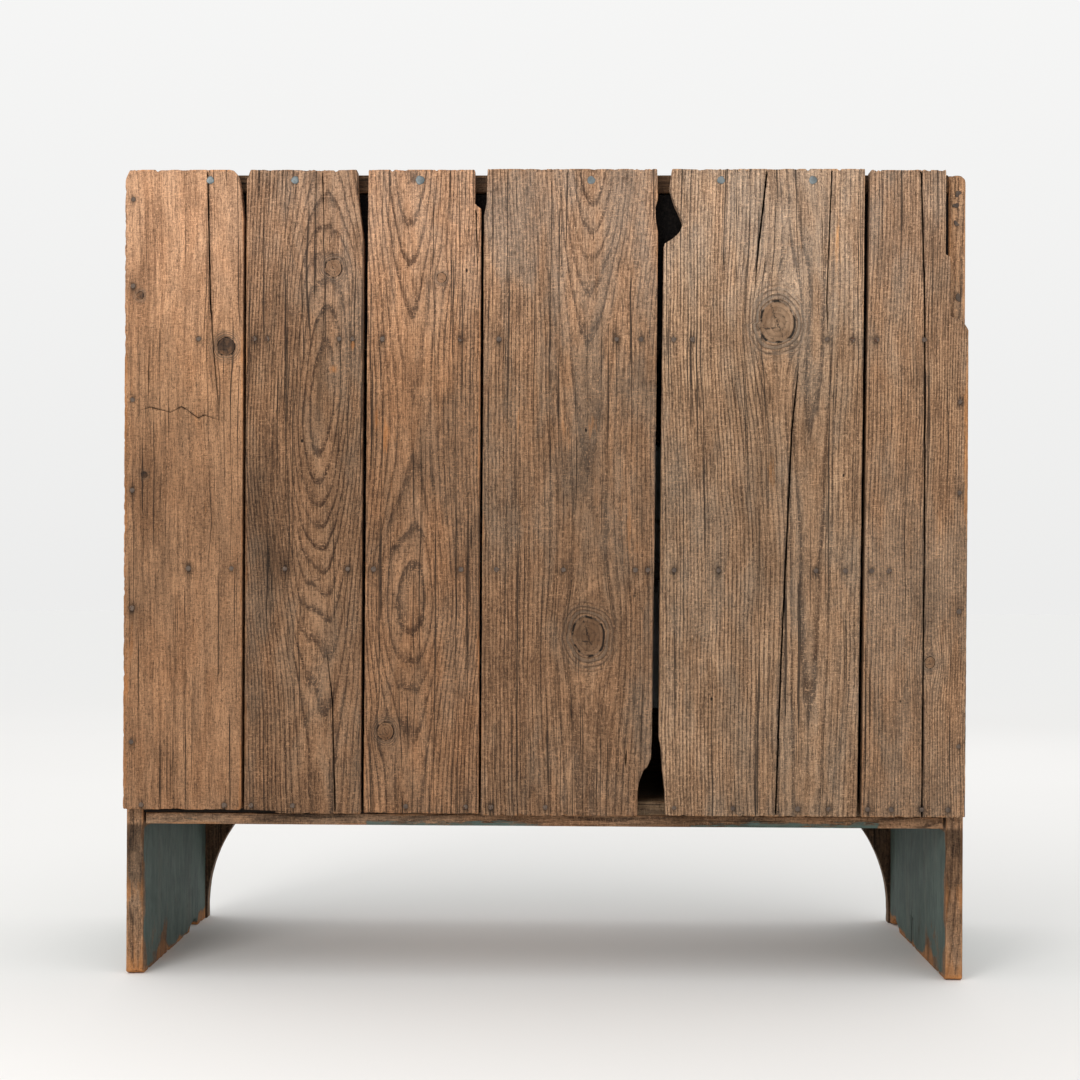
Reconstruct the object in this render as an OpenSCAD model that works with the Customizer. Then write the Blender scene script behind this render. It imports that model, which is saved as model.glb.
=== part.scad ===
// Lift-top icebox: a plank-backed pine cupboard on side-board feet, with a zinc-lined ice
// well under a hinged lid and a two-door food cupboard below it.
// Frame: millimetres, +Z up, the doors face -Y, the plank back faces +Y,
// the origin is on the floor at the centre of the overall box.

/* [Case] */
// Width over the side boards and the plank back
case_w = 1070; // [1000:5:1200]
// Depth from the outer face of the plank back to the front of the face frame
case_d = 450; // [420:5:520]
// Height of the side boards and of the fixed top board
case_h = 1026; // [1000:2:1060]
// Thickness of the side boards, back planks, face frame and doors
board_t = 22; // [20:1:24]
// Clear height under the case
leg_h = 193; // [180:1:205]

/* [Boards inside the case] */
// Thickness of the fixed top board and of the lid
top_t = 23; // [20:1:24]
// Depth of the fixed top board behind the lid
top_board_d = 100; // [90:5:120]
// Thickness of the under board, which closes the case from below
under_t = 15; // [12:1:18]
// Thickness of the bottom board
bottom_t = 18; // [16:1:20]
// Thickness of the well floor and the food shelf
shelf_t = 20; // [18:1:22]
// Height of the well floor's upper face below the top of the case
well_h = 203; // [190:1:215]
// Height of the food shelf's underside above the floor
food_shelf_z = 511; // [480:1:540]

/* [Face frame] */
// Width of the two stiles
stile_w = 95; // [90:1:100]
// Width of a stile's foot at the floor
foot_w = 25; // [24:1:32]
// Radius of the curve from a foot up to the bottom rail
foot_r = 206; // [200:1:220]
// Underside of the bottom rail above the floor
rail_z = 172; // [168:1:176]
// Width of the mullion between the doors
mullion_w = 60; // [54:2:70]

/* [Ice well] */
// Thickness of the tarred cork pads round the well
pad_t = 38; // [34:1:42]
// Thickness of the pad under the zinc liner
floor_pad_t = 25; // [22:1:28]
// Thickness of the zinc sheet
zinc_t = 1.2; // [1:0.1:1.6]
// Number of slats in the ice rack
rack_slats = 9; // [7:1:11]

/* [Moving parts] */
// Gap round the lid and the doors
gap = 2; // [1.5:0.5:3]
// Outer radius of a hinge knuckle
knuckle_r = 5; // [4.5:0.5:6]
// Radius of a hinge pin
pin_r = 2.5; // [2:0.1:3]
// Height of a turn button
button_l = 100; // [92:1:110]
// Middle radius of the lid's lifting ring
ring_r = 24; // [20:1:28]

/* [Hidden] */

round_fn = 48;
touch = 0.5;          // overlap that joins two shapes of one piece
running = 0.05;       // radial clearance of a pin that turns
knob_out = 32;        // how far a door knob stands out of the door
nail_proud = 0.6;     // how far a nail head stands out of the wood

// Faces across the depth. The knobs are the furthest forward, the nail heads the furthest back.
overall_d = case_d + knob_out + nail_proud;
back_y = overall_d / 2 - nail_proud;
front_y = back_y - case_d;
inner_back_y = back_y - board_t;
inner_front_y = front_y + board_t;
half_w = case_w / 2;
inner_w = half_w - board_t;

// Levels
bottom_z = leg_h + under_t;
bottom_top_z = bottom_z + bottom_t;
well_floor_top = case_h - well_h;
well_floor_z = well_floor_top - shelf_t;
lid_z = case_h - top_t;
door_z0 = bottom_top_z + 6;
door_z1 = well_floor_z - 3;

// Door opening, from the mullion to a stile
open_x0 = mullion_w / 2;
open_x1 = half_w - stile_w;
door_x0 = open_x0 + gap;
door_x1 = open_x1 - gap / 2;
hinge_x = open_x1 - gap / 4;
axis_out = knuckle_r + 0.4;
door_axis_y = front_y - axis_out;

// Lid
lid_joint_y = inner_back_y - top_board_d;
lid_y1 = lid_joint_y - gap;
lid_y0 = front_y - 12;
lid_split_y = lid_y0 + 0.56 * (lid_y1 - lid_y0);
lid_axis_y = lid_joint_y - gap / 2;
lid_axis_z = case_h + axis_out;

// Ice well
pad_z1 = lid_z - 2;
liner_x = inner_w - pad_t - 0.3;
liner_y0 = inner_front_y + pad_t + 0.3;
liner_y1 = inner_back_y - pad_t - 0.3;
liner_z = well_floor_top + floor_pad_t;
rack_z = liner_z + zinc_t + 0.3;
runner_h = 16;
slat_t = 10;

// Drain
drain_x = half_w - 100;
drain_y = back_y - 165;
pipe_r = 12.5;
pipe_bore_r = 11;
hole_clear = 0.5;
drain_out = 16;       // how far the spout stands out under the case

// Fasteners
nail_l = 40;
hinge_l = 64;
leaf_w = 34;
leaf_t = 2;
top_hinge_x = 330;

// Back planks, seen from behind: outlines in mm from the left end and above the floor,
// for a case 1070 wide and 1026 high. Worn corners and bites are part of the outline.
drawn_scale_x = case_w / 1070;
drawn_scale_z = case_h / 1026;
plank_outlines = [
    [[0, 215], [152, 214], [152, 965], [148, 1002], [144, 1022], [138, 1028], [6, 1028], [0, 1018]],
    [[155, 214], [230, 213], [304, 210], [305, 934], [303, 950], [298, 990], [296, 1027], [160, 1028],
     [155, 1016]],
    [[307, 211], [454, 211], [454, 980], [446, 983], [446, 1027], [310, 1028]],
    [[456, 209], [655, 209], [655, 240], [657, 253], [663, 268], [667, 271], [672, 282], [673, 310],
     [677, 760], [678, 950], [675, 967], [675, 981], [678, 991], [677, 1029], [461, 1027], [460, 985],
     [457, 970]],
    [[690, 212], [932, 210], [937, 670], [939, 1028], [695, 1029], [694, 1020], [692, 1006],
     [698, 986], [705, 971], [709, 962], [708, 956], [704, 948], [695, 940], [685, 934], [683, 725],
     [681, 310], [684, 295], [686, 266], [689, 240]],
    [[937, 210], [1068, 211], [1070, 640], [1070, 826], [1062, 838], [1047, 842], [1047, 920],
     [1041, 921], [1041, 1028], [945, 1027], [941, 680]],
];

// Nail places across the back, in mm from the left end, for each row
top_nails_u = [109, 217, 376, 593, 757, 873];
well_nails_u = [95, 166, 182, 274, 291, 329, 428, 477, 626, 657, 698, 722, 892, 924, 954, 1014];
shelf_nails_u = [83, 138, 206, 286, 319, 430, 475, 560, 651, 667, 700, 756, 879, 916, 949, 971];
bottom_nails_u = [24, 130, 164, 217, 361, 437, 469, 538, 701, 775, 857, 896, 945, 975, 1013, 1046];
edge_nails_z = [300, 470, 620, 735, 880, 990];
frame_nails_z = [120, 320, 560, 760, 940];

// Colours
bare_pine = "burlywood";
painted_pine = "#4d6b66";
iron = "#3b332d";
zinc = "#9aa0a3";
cork = "#2e2722";
felt = "#4a4038";

// A board between two corners
module board(low, high)
{
    translate(low) cube(high - low);
}

// A pair of shapes mirrored left and right
module both_sides()
{
    children();
    mirror([1, 0, 0]) children();
}

// The hole that the drain pipe passes through
module drain_hole(r = pipe_r + hole_clear)
{
    translate([drain_x, drain_y, 0]) cylinder(r = r, h = case_h, $fn = round_fn);
}

// A side board, down to the floor, with a worn toe behind and a rotted notch near the front
module side_board(notch_y)
{
    depth = inner_back_y - inner_front_y;
    outline = [
        [0, 3], [6, 0], [notch_y, 0], [notch_y + 12, 8], [notch_y + 34, 13], [notch_y + 52, 9],
        [notch_y + 60, 0], [depth, 0], [depth, case_h], [6, case_h], [0, case_h - 6]
    ];
    color(painted_pine)
    translate([half_w - board_t, inner_back_y, 0])
    rotate([90, 0, 90])
    mirror([1, 0, 0])
    linear_extrude(board_t) polygon(outline);
}

module back_plank(i)
{
    color(bare_pine)
    translate([half_w, back_y, 0])
    rotate([90, 0, 0])
    mirror([1, 0, 0])
    linear_extrude(board_t)
    polygon([for (p = plank_outlines[i - 1]) [p[0] * drawn_scale_x, p[1] * drawn_scale_z]]);
}

module top_board()
{
    color(bare_pine) board([-inner_w, lid_joint_y, lid_z], [inner_w, inner_back_y, case_h]);
}

module well_floor()
{
    color(bare_pine) difference() {
        board([-inner_w, inner_front_y, well_floor_z], [inner_w, inner_back_y, well_floor_top]);
        drain_hole();
    }
}

module food_shelf()
{
    color(bare_pine) difference() {
        board([-inner_w, inner_front_y + 30, food_shelf_z],
              [inner_w, inner_back_y, food_shelf_z + shelf_t]);
        drain_hole();
    }
}

module bottom_board()
{
    color(bare_pine) difference() {
        board([-inner_w, inner_front_y, bottom_z], [inner_w, inner_back_y, bottom_top_z]);
        drain_hole();
    }
}

module under_board()
{
    color(painted_pine) difference() {
        board([-inner_w + 3, inner_front_y, leg_h], [inner_w - 3, inner_back_y, bottom_z]);
        drain_hole();
    }
}

// Cleats that carry the well floor and the food shelf at each side board
module shelf_cleats()
{
    cleat_w = 20;
    cleat_h = 28;
    color(bare_pine) both_sides() for (z = [well_floor_z, food_shelf_z])
        board([inner_w - cleat_w, inner_front_y + 30, z - cleat_h], [inner_w, inner_back_y - 20, z]);
}

// A stile: its foot curves in below, and its top is notched round the end of the lid
module stile()
{
    color(painted_pine) difference() {
        board([half_w - stile_w, front_y, 0], [half_w, inner_front_y, case_h]);
        board([0, front_y - 1, lid_z], [inner_w, inner_front_y + 1, case_h + 1]);
        intersection() {
            translate([half_w - foot_w - foot_r, front_y - 1, 20])
            rotate([-90, 0, 0]) cylinder(r = foot_r, h = board_t + 2, $fn = 96);
            board([-half_w, front_y - 1, 19], [half_w, inner_front_y + 1, rail_z]);
        }
        board([0, front_y - 1, -1], [half_w - foot_w, inner_front_y + 1, 20]);
    }
}

module well_front()
{
    color(painted_pine) board([-open_x1, front_y, well_floor_z], [open_x1, inner_front_y, lid_z]);
}

module bottom_rail()
{
    color(painted_pine) board([-open_x1, front_y, rail_z], [open_x1, inner_front_y, bottom_top_z + 4]);
}

module mullion()
{
    color(painted_pine)
    board([-open_x0, front_y, bottom_top_z + 4], [open_x0, inner_front_y, well_floor_z]);
}

// Rebated strips round both openings, which the door gaskets close against
module door_stops()
{
    stop_y = inner_front_y + 3;
    stop_back = inner_front_y + 17;
    lap = 12;
    color(bare_pine) {
        both_sides() {
            board([open_x1, inner_front_y, bottom_top_z], [open_x1 + 20, stop_back, well_floor_z]);
            board([open_x1 - lap, stop_y, bottom_top_z], [open_x1 + touch, stop_back, well_floor_z]);
        }
        board([-open_x0, inner_front_y, bottom_top_z + 4], [open_x0, stop_back, well_floor_z]);
        board([-open_x0 - lap, stop_y, bottom_top_z], [open_x0 + lap, stop_back, well_floor_z]);
        board([-open_x1, stop_y, bottom_top_z], [open_x1, stop_back, door_z0 + lap]);
        board([-open_x1, stop_y, door_z1 - lap], [open_x1, stop_back, well_floor_z]);
    }
}

module insulation_long_pads()
{
    color(cork) for (y = [inner_front_y, inner_back_y - pad_t])
        board([-inner_w, y, well_floor_top], [inner_w, y + pad_t, pad_z1]);
}

module insulation_end_pads()
{
    color(cork) both_sides()
        board([inner_w - pad_t, inner_front_y + pad_t, well_floor_top],
              [inner_w, inner_back_y - pad_t, pad_z1]);
}

module insulation_floor_pad()
{
    color(cork) difference() {
        board([-inner_w + pad_t, inner_front_y + pad_t, well_floor_top],
              [inner_w - pad_t, inner_back_y - pad_t, liner_z]);
        drain_hole();
    }
}

// One folded sheet: a tray with a flange that lies on the pads
module zinc_liner()
{
    flange = 16;
    color(zinc) difference() {
        union() {
            board([-liner_x, liner_y0, liner_z], [liner_x, liner_y1, pad_z1 + zinc_t]);
            board([-liner_x - flange, liner_y0 - flange, pad_z1],
                  [liner_x + flange, liner_y1 + flange, pad_z1 + zinc_t]);
        }
        board([-liner_x + zinc_t, liner_y0 + zinc_t, liner_z + zinc_t],
              [liner_x - zinc_t, liner_y1 - zinc_t, case_h]);
        drain_hole(pipe_bore_r);
    }
}

// Straight pipe from the liner down through the case, soldered under the liner's drain hole
module drain_pipe()
{
    color(zinc) translate([drain_x, drain_y, leg_h - drain_out]) difference() {
        cylinder(r = pipe_r, h = liner_z - leg_h + drain_out, $fn = round_fn);
        translate([0, 0, -1]) cylinder(r = pipe_bore_r, h = case_h, $fn = round_fn);
    }
}

// Collar on the end of the drain pipe, where a hose goes on
module drain_ferrule()
{
    color("goldenrod") translate([drain_x, drain_y, leg_h - drain_out]) difference() {
        cylinder(r = pipe_r + 2, h = drain_out, $fn = round_fn);
        translate([0, 0, -1]) cylinder(r = pipe_r, h = drain_out + 2, $fn = round_fn);
    }
}

// A nail driven along -Y, its head just out of the wood
module nail(x, y, z, head_w, head_h, round_head)
{
    head_t = 1.4;
    translate([x, y + nail_proud, z]) rotate([90, 0, 0]) {
        if (round_head) cylinder(r = head_w / 2, h = head_t, $fn = round_fn);
        else translate([-head_w / 2, -head_h / 2, 0]) cube([head_w, head_h, head_t]);
        cylinder(r = 1.5, h = nail_l, $fn = 16);
    }
}

module cut_nail(x, y, z)
{
    nail(x, y, z, 5.5, 6.5, false);
}

module cut_nails()
{
    color(iron) {
        for (u = well_nails_u) cut_nail(half_w - u * drawn_scale_x, back_y, well_floor_top - shelf_t / 2);
        for (u = shelf_nails_u) cut_nail(half_w - u * drawn_scale_x, back_y, food_shelf_z + shelf_t / 2);
        for (u = bottom_nails_u) cut_nail(half_w - u * drawn_scale_x, back_y, bottom_top_z - 6);
        for (z = edge_nails_z) cut_nail(half_w - board_t / 2, back_y, z);
        for (z = edge_nails_z) if (z < 820) cut_nail(board_t / 2 - half_w, back_y, z);
        both_sides() for (z = frame_nails_z)
            mirror([0, 1, 0]) cut_nail(half_w - board_t / 2, -front_y, z);
    }
}

module galvanised_nails()
{
    color("lightsteelblue") for (u = top_nails_u)
        nail(half_w - u * drawn_scale_x, back_y, case_h - top_t / 2, 10, 10, true);
}

// One leaf of a surface hinge. The axis runs along Z through the origin, the leaf lies on the
// plane y = axis_out on the +X side, and its knuckles fill the given stretches of the axis.
module hinge_leaf(knuckles, bore_r)
{
    difference() {
        union() {
            translate([knuckle_r + 0.5, axis_out - leaf_t, -hinge_l / 2])
                cube([leaf_w, leaf_t, hinge_l]);
            for (k = knuckles) translate([0, 0, k[0]]) {
                cylinder(r = knuckle_r, h = k[1] - k[0], $fn = round_fn);
                translate([0, axis_out - leaf_t, 0]) cube([knuckle_r + 1, leaf_t, k[1] - k[0]]);
            }
        }
        translate([0, 0, -hinge_l]) cylinder(r = bore_r, h = 2 * hinge_l, $fn = round_fn);
    }
}

// The outer knuckles are on the fixed leaf and the middle one is on the leaf that moves
module fixed_leaf()
{
    hinge_leaf([[-hinge_l / 2, -hinge_l / 6], [hinge_l / 6, hinge_l / 2]], pin_r);
}

module moving_leaf()
{
    mirror([1, 0, 0]) hinge_leaf([[-hinge_l / 6 + 0.4, hinge_l / 6 - 0.4]], pin_r + running);
}

module hinge_pin()
{
    head_h = 2;
    translate([0, 0, -hinge_l / 2]) cylinder(r = pin_r, h = hinge_l, $fn = round_fn);
    translate([0, 0, hinge_l / 2]) cylinder(r = pin_r + 1.2, h = head_h, $fn = round_fn);
}

// Places a hinge part at both hinges of a door on the +X side, with the stile on its +X side
module at_door_hinges()
{
    inset = batten_inset + batten_w / 2;
    for (z = [door_z0 + inset, door_z1 - inset])
        translate([hinge_x, door_axis_y, z]) children();
}

// Places a hinge part at both lid hinges, with the fixed board on its +X side
module at_lid_hinges()
{
    for (x = [-top_hinge_x, top_hinge_x])
        translate([x, lid_axis_y, lid_axis_z]) rotate([90, 0, 90]) mirror([0, 1, 0]) children();
}

module lid_board(y0, y1)
{
    color(painted_pine) board([-inner_w + gap, y0, lid_z], [inner_w - gap, y1, case_h]);
}

// Two battens under the lid, inside the well
module lid_battens()
{
    color(bare_pine) both_sides()
        board([liner_x - 90, liner_y0 + 16, lid_z - 18], [liner_x - 40, lid_y1 - 16, lid_z]);
}

module lid_pad()
{
    color(zinc) board([-liner_x + 92, liner_y0 + 16, lid_z - 18], [liner_x - 92, lid_y1 - 16, lid_z]);
}

// Staple driven into the lid, which holds the lifting ring. The ring's wire runs through it along X.
ring_wire_r = 3;
ring_y = lid_y0 + 85;
ring_z = case_h + ring_wire_r + 0.4;
module lid_staple()
{
    eye_wire_r = 1.8;
    color(iron) difference() {
        translate([0, ring_y, ring_z]) rotate([0, 90, 0])
            rotate_extrude($fn = round_fn)
            translate([ring_wire_r + 0.5 + eye_wire_r, 0]) circle(r = eye_wire_r, $fn = 16);
        board([-10, ring_y - 20, case_h - 20], [10, ring_y + 20, case_h]);
    }
}

module lid_ring()
{
    color(iron) translate([0, ring_y - ring_r, ring_z])
    rotate_extrude($fn = 96) translate([ring_r, 0]) circle(r = ring_wire_r, $fn = 24);
}

// Slatted rack that keeps the ice off the liner's floor
module rack_runners()
{
    color(bare_pine) both_sides()
        board([liner_x - 120, liner_y0 + 12, rack_z], [liner_x - 90, liner_y1 - 12, rack_z + runner_h]);
}

module rack_slats()
{
    slat_w = 22;
    first = liner_y0 + 12;
    pitch = (liner_y1 - 12 - slat_w - first) / (rack_slats - 1);
    color(bare_pine) for (i = [0 : rack_slats - 1])
        board([-liner_x + 12, first + i * pitch, rack_z + runner_h],
              [liner_x - 12, first + i * pitch + slat_w, rack_z + runner_h + slat_t]);
}

// The door modules draw the door on the +X side
door_mid_x = (door_x0 + door_x1) / 2;
batten_inset = 26;
batten_w = 60;
batten_t = 18;
module door_board(x0, x1)
{
    color(painted_pine) board([x0, front_y, door_z0], [x1, inner_front_y, door_z1]);
}

module door_battens()
{
    color(bare_pine) for (z = [door_z0 + batten_inset, door_z1 - batten_inset - batten_w])
        board([door_x0 + 20, inner_front_y, z], [door_x1 - 20, inner_front_y + batten_t, z + batten_w]);
}

module door_pad()
{
    color(zinc)
    board([door_x0 + 20, inner_front_y, door_z0 + batten_inset + batten_w + 1],
          [door_x1 - 20, inner_front_y + batten_t, door_z1 - batten_inset - batten_w - 1]);
}

// Felt strip round the edge of the door's inner face
module door_gasket()
{
    felt_t = 2.6;
    strip_w = 11;
    color(felt) difference() {
        board([door_x0 + 1, inner_front_y, door_z0 + 1],
              [door_x1 - 1, inner_front_y + felt_t, door_z1 - 1]);
        board([door_x0 + 1 + strip_w, inner_front_y - 1, door_z0 + 1 + strip_w],
              [door_x1 - 1 - strip_w, inner_front_y + felt_t + 1, door_z1 - 1 - strip_w]);
    }
}

module door_knob()
{
    neck_r = 7;
    knob_r = 15;
    color(painted_pine)
    translate([door_x0 + 38, front_y, (door_z0 + door_z1) / 2])
    rotate([90, 0, 0])
    rotate_extrude($fn = round_fn)
    polygon([
        [0, 0], [neck_r + 4, 0], [neck_r + 4, 2], [neck_r, 5], [neck_r, 10], [knob_r - 2, 16],
        [knob_r, 21], [knob_r - 1, 26], [knob_r - 5, 30], [6, knob_out], [0, knob_out]
    ]);
}

// Wooden turn button on the mullion, upright when the doors are free
button_t = 12;
button_gap = 1.2;
screw_r = 3;
button_zs = [door_z0 + 150, door_z1 - 150];
module button(z)
{
    button_w = 24;
    color(bare_pine)
    translate([0, front_y - button_gap, z])
    rotate([90, 0, 0])
    difference() {
        union() {
            translate([-button_w / 2, -button_l / 2 + button_w / 2, 0])
                cube([button_w, button_l - button_w, button_t]);
            for (end = [-1, 1]) translate([0, end * (button_l - button_w) / 2, 0])
                cylinder(r = button_w / 2, h = button_t, $fn = round_fn);
        }
        translate([0, 0, -1]) cylinder(r = screw_r + running, h = button_t + 2, $fn = round_fn);
    }
}

// A screw and the washer behind the button, for each button
module button_screws()
{
    washer_r = 9;
    head_h = 3;
    screw_in = 16;
    color(iron) for (z = button_zs) translate([0, front_y + screw_in, z]) rotate([90, 0, 0]) {
        cylinder(r = screw_r, h = screw_in + button_gap + button_t + 1, $fn = round_fn);
        translate([0, 0, screw_in]) cylinder(r = washer_r, h = button_gap - 0.3, $fn = round_fn);
        translate([0, 0, screw_in + button_gap + button_t + 0.3])
            cylinder(r1 = screw_r + 3, r2 = screw_r + 1, h = head_h, $fn = round_fn);
    }
}

module door_part(part)
{
    if (part == "outer_board") door_board(door_mid_x + 0.3, door_x1);
    if (part == "inner_board") door_board(door_x0, door_mid_x - 0.3);
    if (part == "battens") door_battens();
    if (part == "pad") door_pad();
    if (part == "gasket") door_gasket();
    if (part == "knob") door_knob();
    if (part == "fixed_leaves") color(iron) at_door_hinges() fixed_leaf();
    if (part == "leaves") color(iron) at_door_hinges() moving_leaf();
    if (part == "pins") color(iron) at_door_hinges() hinge_pin();
}

// The right door, on the +X side, and its mirror image, the left one
module right_door(part)
{
    door_part(part);
}

module left_door(part)
{
    mirror([1, 0, 0]) door_part(part);
}

mirror([1, 0, 0]) side_board(330);  // side_board_left
side_board(290);  // side_board_right
back_plank(1);  // back_plank_1
back_plank(2);  // back_plank_2
back_plank(3);  // back_plank_3
back_plank(4);  // back_plank_4
back_plank(5);  // back_plank_5
back_plank(6);  // back_plank_6
top_board();
well_floor();
food_shelf();
bottom_board();
under_board();
shelf_cleats();
mirror([1, 0, 0]) stile();  // stile_left
stile();  // stile_right
well_front();
bottom_rail();
mullion();
door_stops();
insulation_long_pads();
insulation_end_pads();
insulation_floor_pad();
zinc_liner();
drain_pipe();
drain_ferrule();
cut_nails();
galvanised_nails();
lid_board(lid_y0, lid_split_y - 0.3);  // lid_front_board
lid_board(lid_split_y + 0.3, lid_y1);  // lid_rear_board
lid_battens();
lid_pad();
color(iron) at_lid_hinges() fixed_leaf();  // lid_fixed_leaves
color(iron) at_lid_hinges() moving_leaf();  // lid_hinge_leaves
color(iron) at_lid_hinges() hinge_pin();  // lid_hinge_pins
lid_staple();
lid_ring();
rack_slats();
rack_runners();
left_door("outer_board");  // left_door_outer_board
left_door("inner_board");  // left_door_inner_board
left_door("battens");  // left_door_battens
left_door("pad");  // left_door_pad
left_door("gasket");  // left_door_gasket
left_door("knob");  // left_door_knob
left_door("fixed_leaves");  // left_fixed_leaves
left_door("leaves");  // left_door_leaves
left_door("pins");  // left_hinge_pins
right_door("outer_board");  // right_door_outer_board
right_door("inner_board");  // right_door_inner_board
right_door("battens");  // right_door_battens
right_door("pad");  // right_door_pad
right_door("gasket");  // right_door_gasket
right_door("knob");  // right_door_knob
right_door("fixed_leaves");  // right_fixed_leaves
right_door("leaves");  // right_door_leaves
right_door("pins");  // right_hinge_pins
button(button_zs[1]);  // upper_button
button(button_zs[0]);  // lower_button
button_screws();
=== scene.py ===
"""Looks of a lift-top pine icebox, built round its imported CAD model.

Metres, +Z up, the doors face -Y, the plank back faces +Y and is what the camera sees.
"""

import math

import bmesh
import bpy
import numpy as np
from mathutils import Matrix, Vector


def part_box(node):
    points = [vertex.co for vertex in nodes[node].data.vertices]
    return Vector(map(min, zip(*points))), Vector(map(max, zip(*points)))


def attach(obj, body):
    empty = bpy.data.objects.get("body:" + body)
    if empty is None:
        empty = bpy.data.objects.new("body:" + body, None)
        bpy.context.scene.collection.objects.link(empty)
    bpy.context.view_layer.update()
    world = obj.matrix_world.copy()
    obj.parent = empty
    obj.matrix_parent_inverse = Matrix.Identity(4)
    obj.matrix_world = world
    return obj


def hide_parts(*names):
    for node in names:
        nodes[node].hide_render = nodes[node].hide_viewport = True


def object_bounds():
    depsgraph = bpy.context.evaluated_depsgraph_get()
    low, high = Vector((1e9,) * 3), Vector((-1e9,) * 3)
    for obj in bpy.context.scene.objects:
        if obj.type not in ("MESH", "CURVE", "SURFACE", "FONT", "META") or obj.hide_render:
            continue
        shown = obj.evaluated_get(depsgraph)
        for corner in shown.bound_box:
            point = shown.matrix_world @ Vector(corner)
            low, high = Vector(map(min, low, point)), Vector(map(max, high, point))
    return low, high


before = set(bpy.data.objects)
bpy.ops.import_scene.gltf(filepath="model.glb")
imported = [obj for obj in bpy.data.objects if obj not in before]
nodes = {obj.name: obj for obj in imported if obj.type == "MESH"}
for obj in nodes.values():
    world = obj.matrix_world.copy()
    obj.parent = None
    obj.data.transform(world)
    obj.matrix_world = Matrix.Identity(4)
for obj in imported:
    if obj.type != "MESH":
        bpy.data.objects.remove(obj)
cad_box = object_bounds()
MM = 0.001

# ---------------------------------------------------------------- noise

LATTICE = np.random.default_rng(11).random((256, 256))


def noise(x, y, seed=0.0):
    """Smooth value noise from -1 to 1."""
    x = np.asarray(x, float) + 31.7 * seed
    y = np.asarray(y, float) + 17.9 * seed
    i, j = np.floor(x).astype(int), np.floor(y).astype(int)
    u, v = x - i, y - j
    u, v = u * u * (3 - 2 * u), v * v * (3 - 2 * v)
    i, j, i1, j1 = i & 255, j & 255, (i + 1) & 255, (j + 1) & 255
    a = LATTICE[i, j] * (1 - u) + LATTICE[i1, j] * u
    b = LATTICE[i, j1] * (1 - u) + LATTICE[i1, j1] * u
    return 2 * (a * (1 - v) + b * v) - 1


def fractal(x, y, seed, octaves=3):
    return sum(noise(x * 2**k, y * 2**k, seed + k) / 2**k for k in range(octaves)) / 1.6


def smooth(x, low, high):
    """0 below low, 1 above high, and a soft step between them."""
    x = np.clip((x - low) / (high - low), 0, 1)
    return x * x * (3 - 2 * x)


# ---------------------------------------------------------------- boards

AXIS = {"x": Vector((1, 0, 0)), "y": Vector((0, 1, 0)), "z": Vector((0, 0, 1))}


def axis(word):
    """The unit vector that a word such as "+y" names."""
    return AXIS[word[-1]] * (-1 if word[0] == "-" else 1)


def own_frame(lo, hi, grain, show):
    """A board's directions s, t and n, and the corner that they start from."""
    t_dir, n_dir = axis(grain), axis(show)
    dirs = (t_dir.cross(n_dir), t_dir, n_dir)
    every = dirs[0] + t_dir + n_dir
    return dirs, Vector([lo[i] if every[i] > 0 else hi[i] for i in range(3)])


NOTCH = 0.8  # a notch is narrower than its lips by this share
LIPS = 0.9  # parts the lips from the notch
FULL_DEPTH, FULL_SHADE = 0.5, 0.4  # half widths in mm at which a crack is fully deep, and fully painted black as shade
SPLIT_LIFT = 39.0  # how far a split notch rises from the lower end
RAGGED = 40.0  # how far a worn outline bends the grid inside it
NO_KNOT = [9.0, 9.0, 9.0]
RING_STRETCH = 2.1  # how much longer than wide the rings' bulge round a knot is
BIG_KNOT, BIG_KNOT_TALL, KNOT_TALL = 15, 1.22, 1.08  # radius in mm, and how much taller than wide


def spread(length, step, r):
    """Grid lines along a side, close together where its ends are rounded."""
    count = max(2, round((length - 2 * r) / step) + 1)
    return np.concatenate([[0, 0.45 * r], np.linspace(r, length - r, count), [length - 0.45 * r, length]])


def with_lines(lines, places):
    """Adds four lines at each place: a crack's two lips, and the two sides of its notch.

    Gives all lines, the number of the place that each belongs to or -1, and its side of it.
    """
    side = np.array([-1, -NOTCH, NOTCH, 1])
    which, sides = np.full(len(lines), -1), np.zeros(len(lines))
    for k, c in enumerate(places):
        lines, which, sides = (
            np.concatenate(x) for x in ((lines, [c] * 4), (which, [k] * 4), (sides, side))
        )
    order = np.lexsort((sides, lines))
    return lines[order], which[order], sides[order]


def path_at(points, t):
    """Place and half width of a crack at each t. Its points are (s, t, width), t rising."""
    s, along, width = (np.array(x, float) for x in zip(*points))
    return np.interp(t, along, s), np.interp(t, along, width / 2, left=0, right=0)


def worn_corner(s, r):
    """The rounding of a board's corner, s from it."""
    return r - np.sqrt(np.maximum(r**2 - np.clip(r - s, 0, r) ** 2, 0))


def cells(ids):
    """The four corners of each cell of a grid."""
    return np.stack([ids[:-1, :-1], ids[1:, :-1], ids[1:, 1:], ids[:-1, 1:]], -1)


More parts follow.
